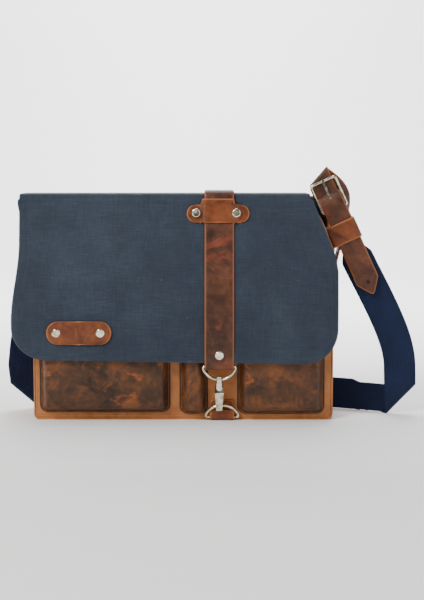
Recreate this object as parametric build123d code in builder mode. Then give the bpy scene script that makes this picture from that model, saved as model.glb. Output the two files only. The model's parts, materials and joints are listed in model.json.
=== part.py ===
from build123d import *
from math import atan2, cos, degrees, hypot, radians, sin
import os

# Messenger bag standing on its base. Millimetres, +Z up, the front faces -Y, +X is the wearer's
# left when worn in front, and the origin is the middle of the base's underside.

# ---- driving dimensions ----
BODY_WIDTH = 380.0
BODY_DEPTH = 70.0
BODY_HEIGHT = 280.0
LEATHER = 2.5                # body panels and straps
THIN_LEATHER = 2.0           # pockets, chapes and tabs
CANVAS = 1.6
LINING = 0.8
SEAM_GAP = 0.2               # between layers that lie on each other
MOVE_GAP = 0.3               # between layers on different bodies
CORNER_RADIUS = 6.0
GUSSET_TOP = 222.0           # the gusset's ends stop below the rim, where the strap is anchored

POCKET_DEPTH = 16.0
POCKET_TOP = 148.0
POCKET_RADIUS = 8.0
MIDDLE_RADIUS = 12.0          # rounder, to clear the lower ring

FLAP_LEFT_TOP = -203.0
FLAP_LEFT_LOW = -213.0
FLAP_RIGHT_TOP = 158.0       # cut back here, where the shoulder strap rises
FLAP_RIGHT_LOW = 192.5
FLAP_BOTTOM = 75.0
FLAP_LIFT = 6.0              # top face of the flap above the body's rim
FLAP_OVERHANG = 3.0          # flap's crease past the body's faces
FLAP_BULGE = 20.0            # the pockets push the lower flap out by this
FLAP_KNEE = 150.0            # height where the flap starts to hang straight
FLAP_CORNER = 42.0

STRAP_X = 45.5               # centre of the closure strap
STRAP_WIDTH = 35.5
WIRE = 1.75                  # radius of the ring wire
WIRE_FIT = 0.1
RING_HALF = 20.25            # wire centre to centre is twice this
RING_DROP = 17.5

BILLET_WIDTH = 29.0
BILLET = 2.2
WEBBING_WIDTH = 40.0
WEBBING = 2.0
STRAP_LEAN = 24.7            # shoulder strap's lean from vertical, degrees

# ---- worked out ----
HALF_W = BODY_WIDTH / 2
HALF_D = BODY_DEPTH / 2
TOP = BODY_HEIGHT + FLAP_LIFT
CREASE_FRONT = -HALF_D - FLAP_OVERHANG
CREASE_BACK = HALF_D + FLAP_OVERHANG
KNEE_Y = CREASE_FRONT - FLAP_BULGE
FLAP_THICK = CANVAS + SEAM_GAP / 2 + LINING
INNER_X = HALF_W - LEATHER
INNER_Y = HALF_D - LEATHER
SLOPE_LEN = hypot(FLAP_BULGE, TOP - FLAP_KNEE)
SLOPE = Plane(
    origin=(0, CREASE_FRONT, TOP),
    x_dir=(1, 0, 0),
    z_dir=(0, FLAP_KNEE - TOP, FLAP_BULGE),
)

os.makedirs("parts", exist_ok=True)


def save(builder, name):
    builder.part.label = name
    export_step(builder.part, f"parts/{name}.step")


def front_plane(y):
    """Sketch plane facing the front at depth y: its x is X and its y is Z."""
    return Plane.XZ.offset(-y)


def side_plane(x):
    """Sketch plane across the bag at x: its x is Y and its y is Z."""
    return Plane.YZ.offset(x)


def hanging(shift, thick, top, bottom):
    """Corners, in Y and Z, of a layer that hangs over the flap's bulge.

    shift is the layer's outer face behind the flap's outer face, and a negative one lies in front.
    """
    lean = FLAP_BULGE / (TOP - FLAP_KNEE)
    outer_top = CREASE_FRONT + shift - (TOP - top) * lean
    outer_low = KNEE_Y + shift
    return [
        (outer_top, top),
        (outer_low, FLAP_KNEE),
        (outer_low, bottom),
        (outer_low + thick, bottom),
        (outer_low + thick, FLAP_KNEE),
        (outer_top + thick, top),
    ]


def d_ring(plane, drop):
    """D-shaped ring of round wire: its bar lies along the plane's x, its bow at y = drop."""
    shoulder = drop * 0.2
    with BuildSketch(plane, mode=Mode.PRIVATE) as outline:
        with BuildLine():
            Line((-RING_HALF, 0), (RING_HALF, 0))
            Line((RING_HALF, 0), (RING_HALF, shoulder))
            ThreePointArc((RING_HALF, shoulder), (0, drop), (-RING_HALF, shoulder))
            Line((-RING_HALF, shoulder), (-RING_HALF, 0))
        make_face()
        fillet(outline.vertices().group_by(Axis.Y)[-1 if drop < 0 else 0], 2.0)
        fillet(outline.vertices().group_by(Axis.Y)[0 if drop < 0 else -1], 6.0)
    path = outline.sketch.face().outer_wire()
    with BuildPart(mode=Mode.PRIVATE) as ring:
        with BuildSketch(Plane(origin=path @ 0, z_dir=path % 0)):
            Circle(WIRE)
        sweep(path=path)
    return ring.part


# ---- body: panels, gusset, stiffener, lining ----
def panel_sketch():
    """Front or back panel: upright sheet with rounded lower corners."""
    Rectangle(BODY_WIDTH, BODY_HEIGHT, align=(Align.CENTER, Align.MIN))


def body_panel(y_outer, outward):
    with BuildPart(mode=Mode.PRIVATE) as panel:
        with BuildSketch(front_plane(y_outer)) as face:
            panel_sketch()
            fillet(face.vertices().group_by(Axis.Y)[0], CORNER_RADIUS)
        extrude(amount=-outward * LEATHER)
    return panel.part


FRONT_SHEET = body_panel(-HALF_D, 1)
BACK_SHEET = body_panel(HALF_D, -1)
RIVET_STEM = 1.5
STEM_HOLE = 1.55
TAB_RIVETS = [(0, 162.0), (0, 198.0)]



# front view of the upper right corner that is cut away, where the shoulder strap rises
CORNER_DIP = [(155, 281), (172, 254), (HALF_W + 1, GUSSET_TOP - 8), (HALF_W + 1, 281)]

with BuildPart() as front_panel:
    add(FRONT_SHEET)
    with BuildSketch(front_plane(0)):
        with BuildLine():
            Polyline(*CORNER_DIP, close=True)
        make_face()
    extrude(amount=HALF_D + 1, mode=Mode.SUBTRACT)
save(front_panel, "front_panel")

with BuildPart() as back_panel:
    add(BACK_SHEET)
save(back_panel, "back_panel")

with BuildPart() as gusset:
    with BuildSketch(front_plane(-INNER_Y + SEAM_GAP)) as band:
        panel_sketch()
        fillet(band.vertices().group_by(Axis.Y)[0], CORNER_RADIUS)
        with Locations((0, LEATHER)):
            Rectangle(2 * INNER_X, BODY_HEIGHT, align=(Align.CENTER, Align.MIN), mode=Mode.SUBTRACT)
    extrude(amount=-2 * (INNER_Y - SEAM_GAP))
    with BuildSketch(Plane.XY.offset(GUSSET_TOP)):
        Rectangle(BODY_WIDTH + 10, BODY_DEPTH + 10)
    extrude(amount=BODY_HEIGHT, mode=Mode.SUBTRACT)
    # rivet holes for the two anchor tabs
    with BuildSketch(side_plane(0)):
        with Locations(*TAB_RIVETS):
            Circle(STEM_HOLE)
    extrude(amount=BODY_WIDTH, both=True, mode=Mode.SUBTRACT)
save(gusset, "gusset")

BOARD_THICK = 3.0
BOARD_Z = LEATHER + SEAM_GAP
with BuildPart() as base_board:
    with BuildSketch(Plane.XY.offset(BOARD_Z)):
        RectangleRounded(2 * INNER_X - 6, 2 * INNER_Y - 4, 4)
    extrude(amount=BOARD_THICK)
save(base_board, "base_board")

LINING_Z = BOARD_Z + BOARD_THICK + SEAM_GAP
LINING_X = INNER_X - 3.0
LINING_Y = INNER_Y - 1.5
LINING_TOP = BODY_HEIGHT - 6.0
with BuildPart() as lining:
    with BuildSketch(Plane.XY.offset(LINING_Z)):
        RectangleRounded(2 * LINING_X, 2 * LINING_Y, 5)
    extrude(amount=LINING_TOP - LINING_Z)
    offset(amount=-LINING, openings=lining.faces().sort_by(Axis.Z)[-1])
    with BuildSketch(front_plane(HALF_D)):
        with BuildLine():
            Polyline(*CORNER_DIP, close=True)
        make_face()
    extrude(amount=BODY_DEPTH, mode=Mode.SUBTRACT)
save(lining, "lining")

DIVIDER_Y = 9.0
DIVIDER_THICK = 5.0
DIVIDER_TOP = 235.0
with BuildPart() as divider:
    with BuildSketch(front_plane(DIVIDER_Y)) as pad:
        with Locations((0, LINING_Z + LINING + SEAM_GAP)):
            Rectangle(2 * LINING_X - 4, DIVIDER_TOP, align=(Align.CENTER, Align.MIN))
        fillet(pad.vertices().group_by(Axis.Y)[-1], 14)
    extrude(amount=-DIVIDER_THICK)
save(divider, "divider")

INNER_POCKET_DEPTH = 9.0
INNER_POCKET_WALL = 1.2
with BuildPart() as inner_pocket:
    with BuildSketch(front_plane(DIVIDER_Y - SEAM_GAP)) as pouch:
        with Locations((-60, 60)):
            Rectangle(150, 130, align=(Align.CENTER, Align.MIN))
        fillet(pouch.vertices().group_by(Axis.Y)[0], 10)
    extrude(amount=INNER_POCKET_DEPTH)
    with BuildSketch(front_plane(DIVIDER_Y - SEAM_GAP)) as room:
        with Locations((-60, 60 + INNER_POCKET_WALL)):
            Rectangle(150 - 2 * INNER_POCKET_WALL, 130, align=(Align.CENTER, Align.MIN))
        fillet(room.vertices().group_by(Axis.Y)[0], 10 - INNER_POCKET_WALL)
    extrude(amount=INNER_POCKET_DEPTH - INNER_POCKET_WALL, mode=Mode.SUBTRACT)
save(inner_pocket, "inner_pocket")


# ---- moulded front pockets ----
def pocket(left, right, bottom, radius):
    """Moulded leather pocket, open at the top and at the back, where the front panel closes it."""
    middle = (left + right) / 2
    width = right - left
    inside = width - 2 * THIN_LEATHER
    back = -HALF_D - SEAM_GAP
    with BuildPart(mode=Mode.PRIVATE) as shell:
        with BuildSketch(front_plane(back)) as outside:
            with Locations((middle, bottom)):
                Rectangle(width, POCKET_TOP - bottom, align=(Align.CENTER, Align.MIN))
            fillet(outside.vertices().group_by(Axis.Y)[0], radius)
        extrude(amount=POCKET_DEPTH)
        rim = shell.faces().sort_by(Axis.Y)[0].edges()
        fillet(rim.group_by(Axis.Z)[:-1], 3.0)
        with BuildSketch(front_plane(back)) as room:
            with Locations((middle, bottom + THIN_LEATHER)):
                Rectangle(inside, POCKET_TOP, align=(Align.CENTER, Align.MIN))
            fillet(room.vertices().group_by(Axis.Y)[0], radius - THIN_LEATHER)
        extrude(amount=POCKET_DEPTH - THIN_LEATHER, mode=Mode.SUBTRACT)
    return shell.part


POCKETS = {
    "left_pocket": (-181.0, -17.0, 10.0, POCKET_RADIUS),
    "middle_pocket": (-4.0, 30.5, 8.0, MIDDLE_RADIUS),
    "right_pocket": (69.0, 178.0, 8.0, POCKET_RADIUS),
}
for pocket_name, (left, right, bottom, radius) in POCKETS.items():
    with BuildPart() as moulded:
        add(pocket(left, right, bottom, radius))
    save(moulded, pocket_name)


# ---- flap: a top run and a front run, each canvas over a lining ----
PLATE_RIVETS = [(STRAP_X - 28.8, 262.5), (STRAP_X + 21.2, 262.5)]
NAME_RIVETS = [(-157.3, 114.0), (-102.5, 114.0)]
CLOSURE_RIVET = (STRAP_X, 86.0)
FLAP_HOLES = PLATE_RIVETS + NAME_RIVETS + [CLOSURE_RIVET]


def flap_front_layer(shift, thick, top, inset):
    """One layer of the front run: bent over the pockets, cut to the flap's outline."""
    with BuildPart(mode=Mode.PRIVATE) as layer:
        with BuildSketch(side_plane(FLAP_LEFT_LOW - 5)):
            with BuildLine():
                Polyline(*hanging(shift, thick, top, FLAP_BOTTOM - 5), close=True)
            make_face()
        extrude(amount=FLAP_RIGHT_LOW - FLAP_LEFT_LOW + 10)
        with BuildSketch(front_plane(0)) as outline:
            with BuildLine():
                Polyline(
                    (FLAP_LEFT_TOP + inset, TOP),
                    (FLAP_LEFT_TOP + inset, 225),
                    (FLAP_LEFT_LOW + inset, 125),
                    (FLAP_LEFT_LOW + inset, FLAP_BOTTOM + 5 + inset),
                    (FLAP_RIGHT_LOW - inset, FLAP_BOTTOM - 1 + inset),
                    (FLAP_RIGHT_LOW - inset, 200),
                    (FLAP_RIGHT_LOW - 17 - inset, 240),
                    (FLAP_RIGHT_TOP - inset, TOP),
                    close=True,
                )
            make_face()
            fillet(outline.vertices().filter_by_position(Axis.Y, 0, FLAP_KNEE - 50), FLAP_CORNER)
        extrude(amount=120, mode=Mode.INTERSECT)
        with BuildSketch(front_plane(0)):
            with Locations(*FLAP_HOLES):
                Circle(STEM_HOLE)
        extrude(amount=120, mode=Mode.SUBTRACT)
    return layer.part


def flap_top_layer(top, thick, inset):
    """One layer of the top run, which stops short of the back crease so that it can fold over."""
    with BuildPart(mode=Mode.PRIVATE) as layer:
        with BuildSketch(Plane.XY.offset(top)):
            with Locations(((FLAP_LEFT_TOP + FLAP_RIGHT_TOP) / 2, CREASE_FRONT)):
                Rectangle(
                    FLAP_RIGHT_TOP - FLAP_LEFT_TOP - 2 * inset,
                    CREASE_BACK - CREASE_FRONT - 3.0,
                    align=(Align.CENTER, Align.MIN),
                )
        extrude(amount=-thick)
    return layer.part


FRONT_RUN_TOP = TOP - FLAP_THICK - MOVE_GAP
with BuildPart() as flap_top_canvas:
    add(flap_top_layer(TOP, CANVAS, 0))
save(flap_top_canvas, "flap_top_canvas")

with BuildPart() as flap_top_lining:
    add(flap_top_layer(TOP - CANVAS - SEAM_GAP / 2, LINING, 3))
save(flap_top_lining, "flap_top_lining")

CANVAS_LAYER = flap_front_layer(0, CANVAS, FRONT_RUN_TOP, 0)
with BuildPart() as flap_front_canvas:
    add(CANVAS_LAYER)
save(flap_front_canvas, "flap_front_canvas")

LINING_LAYER = flap_front_layer(CANVAS + SEAM_GAP / 2, LINING, FRONT_RUN_TOP, 3)
with BuildPart() as flap_front_lining:
    add(LINING_LAYER)
save(flap_front_lining, "flap_front_lining")

ANCHOR_LOW = 205.0
with BuildPart() as flap_anchor:
    with BuildSketch(front_plane(HALF_D + SEAM_GAP)):
        with Locations(((-HALF_W + FLAP_RIGHT_TOP) / 2, ANCHOR_LOW)):
            Rectangle(
                HALF_W + FLAP_RIGHT_TOP - 4,
                TOP - FLAP_THICK - MOVE_GAP - ANCHOR_LOW,
                align=(Align.CENTER, Align.MIN),
            )
    extrude(amount=-(FLAP_OVERHANG - SEAM_GAP))
save(flap_anchor, "flap_anchor")

# ---- closure strap: back, top and front runs, the front one folded round the hook's eye ----
FOLD_Z = 71.5
FOLD_R = WIRE + WIRE_FIT
FOLD_Y = KNEE_Y - MOVE_GAP + FOLD_R
RETURN_TOP = 98.0
STRAP_LEFT = STRAP_X - STRAP_WIDTH / 2

with BuildPart() as closure_strap_back:
    with BuildSketch(front_plane(CREASE_BACK + SEAM_GAP)) as tail:
        with Locations((STRAP_X, 212)):
            Rectangle(STRAP_WIDTH, 62, align=(Align.CENTER, Align.MIN))
        fillet(tail.vertices().group_by(Axis.Y)[0], 10)
    extrude(amount=-LEATHER)
save(closure_strap_back, "closure_strap_back")

with BuildPart() as closure_strap_top:
    with BuildSketch(Plane.XY.offset(TOP + MOVE_GAP)):
        with Locations((STRAP_X, CREASE_FRONT)):
            Rectangle(STRAP_WIDTH, CREASE_BACK - CREASE_FRONT - 10, align=(Align.CENTER, Align.MIN))
    extrude(amount=LEATHER)
save(closure_strap_top, "closure_strap_top")

with BuildPart() as closure_strap_front:
    with BuildSketch(side_plane(STRAP_LEFT)):
        with BuildLine():
            Polyline(*hanging(-MOVE_GAP - LEATHER, LEATHER, TOP, FOLD_Z), close=True)
        make_face()
        # the fold round the eye's bar and the return behind the flap
        with Locations((FOLD_Y, FOLD_Z)):
            Circle(FOLD_R + LEATHER)
        with Locations((FOLD_Y + FOLD_R + LEATHER / 2, FOLD_Z)):
            Rectangle(LEATHER, RETURN_TOP - FOLD_Z, align=(Align.CENTER, Align.MIN))
        with Locations((FOLD_Y, FOLD_Z)):
            Circle(FOLD_R, mode=Mode.SUBTRACT)
            Rectangle(2 * FOLD_R, 12, align=(Align.CENTER, Align.MIN), mode=Mode.SUBTRACT)
    extrude(amount=STRAP_WIDTH)
    with BuildSketch(front_plane(0)):
        with Locations(CLOSURE_RIVET):
            Circle(STEM_HOLE)
    extrude(amount=120, mode=Mode.SUBTRACT)
save(closure_strap_front, "closure_strap_front")

# ---- plates and rivets on the flap ----
PLATE_LIFT = MOVE_GAP + LEATHER + SEAM_GAP
PLATE_HALF = 38.5
PLATE_HIGH = 29.0


def on_slope(height):
    """Distance up the sloping run, from the crease, of the point at this height."""
    return -(TOP - height) * SLOPE_LEN / (TOP - FLAP_KNEE)


with BuildPart() as strap_plate:
    with BuildSketch(SLOPE.offset(PLATE_LIFT)) as crest:
        with Locations((STRAP_X - 1.5, on_slope(264.5))):
            Rectangle(STRAP_WIDTH + 4, PLATE_HIGH)
        with Locations((STRAP_X - 1.5, on_slope(261.0))):
            SlotOverall(2 * PLATE_HALF, 22)
    extrude(amount=THIN_LEATHER)
    with BuildSketch(front_plane(0)):
        with Locations(*PLATE_RIVETS):
            Circle(STEM_HOLE)
    extrude(amount=120, mode=Mode.SUBTRACT)
save(strap_plate, "strap_plate")

with BuildPart() as name_plate:
    with BuildSketch(front_plane(KNEE_Y - SEAM_GAP)):
        with Locations((-129.0, 114.0)):
            SlotOverall(80, 29)
    extrude(amount=THIN_LEATHER)
    with BuildSketch(front_plane(KNEE_Y)):
        with Locations(*NAME_RIVETS):
            Circle(STEM_HOLE)
    extrude(amount=10, both=True, mode=Mode.SUBTRACT)
save(name_plate, "name_plate")

CAP_R = 5.6
CAP_HIGH = 2.4
BACK_CAP_R = 4.0
BACK_CAP_HIGH = 1.0


def rivet(seat, length):
    """Domed rivet on a plane whose normal points out of the leather: cap, stem, back cap."""
    with BuildPart(mode=Mode.PRIVATE) as stud:
        with BuildSketch(seat):
            Circle(CAP_R)
        extrude(amount=CAP_HIGH)
        fillet(stud.edges().sort_by(lambda e: seat.to_local_coords(e.center()).Z)[-1], 1.6)
        with BuildSketch(seat):
            Circle(RIVET_STEM)
        extrude(amount=-length)
        with BuildSketch(seat.offset(-length)):
            Circle(BACK_CAP_R)
        extrude(amount=-BACK_CAP_HIGH)
    return stud.part


def front_seat(x, y, z):
    return Plane(origin=(x, y, z), x_dir=(1, 0, 0), z_dir=(0, -1, 0))


PLATE_FACE = -CREASE_FRONT + (TOP - 262.5) * FLAP_BULGE / (TOP - FLAP_KNEE) + PLATE_LIFT + THIN_LEATHER
with BuildPart() as strap_plate_rivets:
    for x, z in PLATE_RIVETS:
        add(rivet(front_seat(x, -PLATE_FACE - 1.2, z), PLATE_LIFT + THIN_LEATHER + FLAP_THICK + 2.2))
save(strap_plate_rivets, "strap_plate_rivets")

with BuildPart() as name_plate_rivets:
    for x, z in NAME_RIVETS:
        seat_y = KNEE_Y - SEAM_GAP - THIN_LEATHER - 0.05
        add(rivet(front_seat(x, seat_y, z), THIN_LEATHER + FLAP_THICK + 0.4))
save(name_plate_rivets, "name_plate_rivets")

with BuildPart() as closure_rivet:
    seat_y = KNEE_Y - MOVE_GAP - LEATHER - 0.05
    grip = 2 * LEATHER + 2 * FOLD_R + 0.1
    with BuildSketch(front_plane(seat_y)):
        with Locations(CLOSURE_RIVET):
            Circle(CAP_R)
    extrude(amount=CAP_HIGH)
    fillet(closure_rivet.edges().sort_by(Axis.Y)[0], 1.6)
    with BuildSketch(front_plane(seat_y)):
        with Locations(CLOSURE_RIVET):
            Circle(RIVET_STEM)
    extrude(amount=-grip)
save(closure_rivet, "closure_rivet")

# ---- lower ring and its chape, between the pockets at the foot of the front panel ----
CHAPE_WIDTH = 30.0
CHAPE_X = STRAP_X + 3.5
CHAPE_TOP = 13.5
CHAPE_BACK_TOP = 26.0
CHAPE_Y = -HALF_D - SEAM_GAP - THIN_LEATHER - FOLD_R
CHAPE_Z = FOLD_R + THIN_LEATHER + 0.8
RING_TILT = 25.0
with BuildPart() as lower_chape:
    with BuildSketch(side_plane(CHAPE_X - CHAPE_WIDTH / 2)):
        with Locations((CHAPE_Y, CHAPE_Z)):
            Circle(FOLD_R + THIN_LEATHER)
        with Locations((CHAPE_Y - FOLD_R - THIN_LEATHER / 2, CHAPE_Z)):
            Rectangle(THIN_LEATHER, CHAPE_TOP - CHAPE_Z, align=(Align.CENTER, Align.MIN))
        with Locations((CHAPE_Y + FOLD_R + THIN_LEATHER / 2, CHAPE_Z)):
            Rectangle(THIN_LEATHER, CHAPE_BACK_TOP - CHAPE_Z, align=(Align.CENTER, Align.MIN))
        with Locations((CHAPE_Y, CHAPE_Z)):
            Circle(FOLD_R, mode=Mode.SUBTRACT)
            Rectangle(2 * FOLD_R, 4, align=(Align.CENTER, Align.MIN), mode=Mode.SUBTRACT)
        # above the bar the two layers are sewn together
        with Locations((CHAPE_Y, CHAPE_Z + 4)):
            Rectangle(2 * FOLD_R, CHAPE_TOP - CHAPE_Z - 4, align=(Align.CENTER, Align.MIN))
    extrude(amount=CHAPE_WIDTH)
save(lower_chape, "lower_chape")

RING_PLANE = Plane(
    origin=(CHAPE_X, CHAPE_Y, CHAPE_Z),
    x_dir=(1, 0, 0),
    z_dir=(0, -cos(radians(RING_TILT)), -sin(radians(RING_TILT))),
)
# this plane's y leans forward as it rises
with BuildPart() as lower_ring:
    add(d_ring(RING_PLANE, RING_DROP))
save(lower_ring, "lower_ring")

# ---- swivel snap hook: eye, body, gate and pin, from the strap's fold to the ring's bow ----
BOW = RING_PLANE.from_local_coords((0, RING_DROP, 0))
HOOK_LEAN = atan2(BOW.Y - FOLD_Y, FOLD_Z - BOW.Z)
REACH = hypot(BOW.Y - FOLD_Y, FOLD_Z - BOW.Z)
HOOK_PLANE = Plane(
    origin=(STRAP_X, FOLD_Y, FOLD_Z),
    x_dir=(1, 0, 0),
    z_dir=(0, -cos(HOOK_LEAN), -sin(HOOK_LEAN)),
)
BOSS_TOP = -15.4
BOSS_LOW = -20.4
POST_R = 1.9


def hook_disc(at, radius, amount, end_radius=None):
    """Round slice of the hook's axis, from local height at, downwards by amount."""
    base = Plane(
        origin=HOOK_PLANE.from_local_coords((0, at, 0)),
        x_dir=(1, 0, 0),
        z_dir=HOOK_PLANE.y_dir * -1,
    )
    with BuildPart(mode=Mode.PRIVATE) as slice_:
        with BuildSketch(base):
            Circle(radius)
        with BuildSketch(base.offset(amount)):
            Circle(end_radius or radius)
        loft()
    return slice_.part


with BuildPart() as hook_eye:
    add(d_ring(HOOK_PLANE, -RING_DROP))
    add(hook_disc(BOSS_TOP, 4.0, BOSS_TOP - BOSS_LOW))
    add(hook_disc(BOSS_TOP + 5, POST_R + 0.06, 15), mode=Mode.SUBTRACT)
save(hook_eye, "hook_eye")

HOOK_SIDE = Plane(origin=HOOK_PLANE.origin, x_dir=HOOK_PLANE.z_dir * -1, z_dir=(1, 0, 0))
# in HOOK_SIDE, x points to the bag and y up the hook
THROAT_TOP = -31.0
THROAT_LOW = -REACH - WIRE - 2.0    # the bow drops beside its middle, and still clears
THROAT_HALF = 4.0
RIM = 3.6
PIN = (5.7, THROAT_TOP - 1.5)
PIN_R = 0.9
GATE_TIP = THROAT_LOW + 5.5
with BuildPart() as hook_body:
    add(hook_disc(BOSS_TOP + 2.3, 3.0, 2.0))
    add(hook_disc(BOSS_TOP + 0.4, POST_R, 6.5))
    add(hook_disc(BOSS_LOW - 0.4, 4.4, 2.0, 4.9))
    add(hook_disc(BOSS_LOW - 2.4, 4.9, 3.2, 4.9))
    add(hook_disc(BOSS_LOW - 5.6, 4.9, 5.0, 6.2))
    middle = (THROAT_TOP + THROAT_LOW) / 2
    high = THROAT_TOP - THROAT_LOW
    with BuildSketch(HOOK_SIDE.offset(-6)) as loop:
        with Locations((0, middle)):
            SlotOverall(high + 2 * RIM, 2 * (THROAT_HALF + RIM), rotation=90)
            SlotOverall(high, 2 * THROAT_HALF, rotation=90, mode=Mode.SUBTRACT)
        # the mouth on the bag's side, which the gate closes
        with Locations((THROAT_HALF + RIM / 2, GATE_TIP)):
            Rectangle(RIM + 4, THROAT_TOP - GATE_TIP + 2, align=(Align.CENTER, Align.MIN), mode=Mode.SUBTRACT)
    extrude(amount=12)
    # sides taper towards the bow
    for side in (-1, 1):
        with BuildSketch(HOOK_PLANE.offset(-20)):
            with BuildLine():
                Polyline(
                    (side * 6.1, THROAT_TOP + 6),
                    (side * 3.3, THROAT_LOW - RIM - 2),
                    (side * 12, THROAT_LOW - RIM - 2),
                    (side * 12, THROAT_TOP + 6),
                    close=True,
                )
            make_face()
        extrude(amount=40, mode=Mode.SUBTRACT)
    # cheeks that hold the gate's pin
    for side in (-1, 1):
        with BuildSketch(HOOK_SIDE.offset(side * 3.9 - 0.9)):
            with BuildLine():
                Polyline(
                    (0, THROAT_TOP + 4.5),
                    (PIN[0] + 1.9, THROAT_TOP + 1.0),
                    (PIN[0] + 1.9, PIN[1] - 1.4),
                    (PIN[0] - 1.7, PIN[1] - 1.4),
                    (PIN[0] - 2.2, THROAT_TOP + 0.8),
                    (0, THROAT_TOP + 0.8),
                    close=True,
                )
            make_face()
        extrude(amount=1.8)
    with BuildSketch(HOOK_SIDE):
        with Locations(PIN):
            Circle(PIN_R)
    extrude(amount=10, both=True, mode=Mode.SUBTRACT)
    # room for the gate's knuckle between the cheeks
    with BuildSketch(HOOK_SIDE):
        with Locations(PIN):
            Circle(2.5)
    extrude(amount=2.9, both=True, mode=Mode.SUBTRACT)
save(hook_body, "hook_body")

with BuildPart() as gate_pin:
    with BuildSketch(HOOK_SIDE):
        with Locations(PIN):
            Circle(PIN_R - 0.01)
    extrude(amount=4.8, both=True)
save(gate_pin, "gate_pin")

with BuildPart() as hook_gate:
    with BuildSketch(HOOK_SIDE):
        with Locations(PIN):
            Circle(2.0)
        with Locations((PIN[0] + 0.2, (PIN[1] + GATE_TIP + MOVE_GAP) / 2)):
            Rectangle(2.8, PIN[1] - GATE_TIP - MOVE_GAP)
        with Locations(PIN):
            Circle(PIN_R + 0.05, mode=Mode.SUBTRACT)
    extrude(amount=2.6, both=True)
save(hook_gate, "hook_gate")

# ---- shoulder strap, right end: anchor tab, billet, buckle, keeper ----
LEAN = radians(STRAP_LEAN)
ALONG = Vector(-sin(LEAN), 0, cos(LEAN))
ACROSS = Vector(cos(LEAN), 0, sin(LEAN))
STRAP_START = Vector(197.6, 0, 254.6)


def strap_point(along, y):
    """Point on the strap's centre line: along is the distance down from its start."""
    return STRAP_START - ALONG * along + Vector(0, y, 0)


def strap_face(y):
    """Plane that faces the front: x across the strap, y up it."""
    return Plane(origin=strap_point(0, y), x_dir=ACROSS, z_dir=(0, -1, 0))


STRAP_SIDE = Plane(origin=strap_point(0, 0), x_dir=(0, 1, 0), z_dir=ACROSS)
# x is the bag's Y, and y runs up the strap

TAB_LOW = 148.0
TAB_TOP = 219.0


def anchor_tab(side, width):
    """Leather tab on the gusset's outer face, with rounded lower corners."""
    seat = Plane(origin=(side * (HALF_W + SEAM_GAP), 0, 0), x_dir=(0, side, 0), z_dir=(side, 0, 0))
    with BuildPart(mode=Mode.PRIVATE) as tab:
        with BuildSketch(seat) as patch:
            with Locations((0, TAB_LOW)):
                Rectangle(width, TAB_TOP - TAB_LOW, align=(Align.CENTER, Align.MIN))
            fillet(patch.vertices().group_by(Axis.Y)[0], 9)
            with Locations(*TAB_RIVETS):
                Circle(STEM_HOLE, mode=Mode.SUBTRACT)
        extrude(amount=THIN_LEATHER)
    return tab.part


def tab_rivets(side):
    outside = side * (HALF_W + SEAM_GAP + THIN_LEATHER + 0.05)
    studs = []
    for _, z in TAB_RIVETS:
        seat = Plane(origin=(outside, 0, z), x_dir=(0, side, 0), z_dir=(side, 0, 0))
        studs.append(rivet(seat, THIN_LEATHER + LEATHER + 0.35))
    return studs


with BuildPart() as right_anchor_tab:
    add(anchor_tab(1, BILLET_WIDTH))
save(right_anchor_tab, "right_anchor_tab")

with BuildPart() as right_anchor_rivets:
    add(tab_rivets(1))
save(right_anchor_rivets, "right_anchor_rivets")

with BuildPart() as left_anchor_tab:
    add(anchor_tab(-1, WEBBING_WIDTH))
save(left_anchor_tab, "left_anchor_tab")

with BuildPart() as left_anchor_rivets:
    add(tab_rivets(-1))
save(left_anchor_rivets, "left_anchor_rivets")

HEEL = 12.0                  # heel bar's distance above the strap's start
FAR = 51.0
FRAME_Y = -10.5
BAR = 1.7
BAR_HOLE = 1.8
FRAME_HALF = 16.8
BILLET_TIP = 105.0
UNDER = -8.4                 # billet's front face where it passes behind the far bar
OVER = -17.0                 # and where it lies on the chape

# the billet leaves the tab, rises behind the buckle and folds over to the front
with BuildPart() as billet_loop:
    with BuildSketch(front_plane(-2.5)):
        with BuildLine():
            Polyline(
                (157.5, 296.0),
                (174.5, 316.0),
                (203.0, 300.0),
                (211.0, 284.0),
                (209.0, 264.0),
                (197.0, 262.0),
                (188.0, 288.0),
                close=True,
            )
        make_face()
    extrude(amount=2.4)
save(billet_loop, "billet_loop")

# and this part of it climbs from the anchor tab to that fold
with BuildPart() as billet_riser:
    with BuildSketch(side_plane(HALF_W + 5.4)):
        with BuildLine():
            Polyline((-11, 206), (14, 206), (14, 262), (3, 262), (3, 212), (-9, 207), (-11, 207), close=True)
        make_face()
    extrude(amount=BILLET)
save(billet_riser, "billet_riser")

PRONG_SLOT = 5.0
with BuildPart() as billet:
    with BuildSketch(STRAP_SIDE.offset(-BILLET_WIDTH / 2)):
        with BuildLine():
            Polyline(
                (UNDER, 62),
                (UNDER, 45),
                (OVER, 18),
                (OVER, -BILLET_TIP),
                (OVER + BILLET, -BILLET_TIP),
                (OVER + BILLET, 17),
                (UNDER + BILLET, 44),
                (UNDER + BILLET, 62),
                close=True,
            )
        make_face()
    extrude(amount=BILLET_WIDTH)
    with BuildSketch(strap_face(10)) as tongue:
        with BuildLine():
            Polyline(
                (-BILLET_WIDTH / 2, 52),
                (-BILLET_WIDTH / 2, -BILLET_TIP + 16),
                (-7, -BILLET_TIP + 3),
                (0, -BILLET_TIP),
                (7, -BILLET_TIP + 3),
                (BILLET_WIDTH / 2, -BILLET_TIP + 16),
                (BILLET_WIDTH / 2, 62),
                (-6, 62),
                close=True,
            )
        make_face()
    extrude(amount=40, mode=Mode.INTERSECT)
    with BuildSketch(strap_face(10)):
        with Locations((0, 23)):
            SlotOverall(38, PRONG_SLOT, rotation=90)
        with Locations((0, -50), (0, -72), (0, -88)):
            Circle(2.2)
    extrude(amount=40, mode=Mode.SUBTRACT)
save(billet, "billet")

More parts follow.
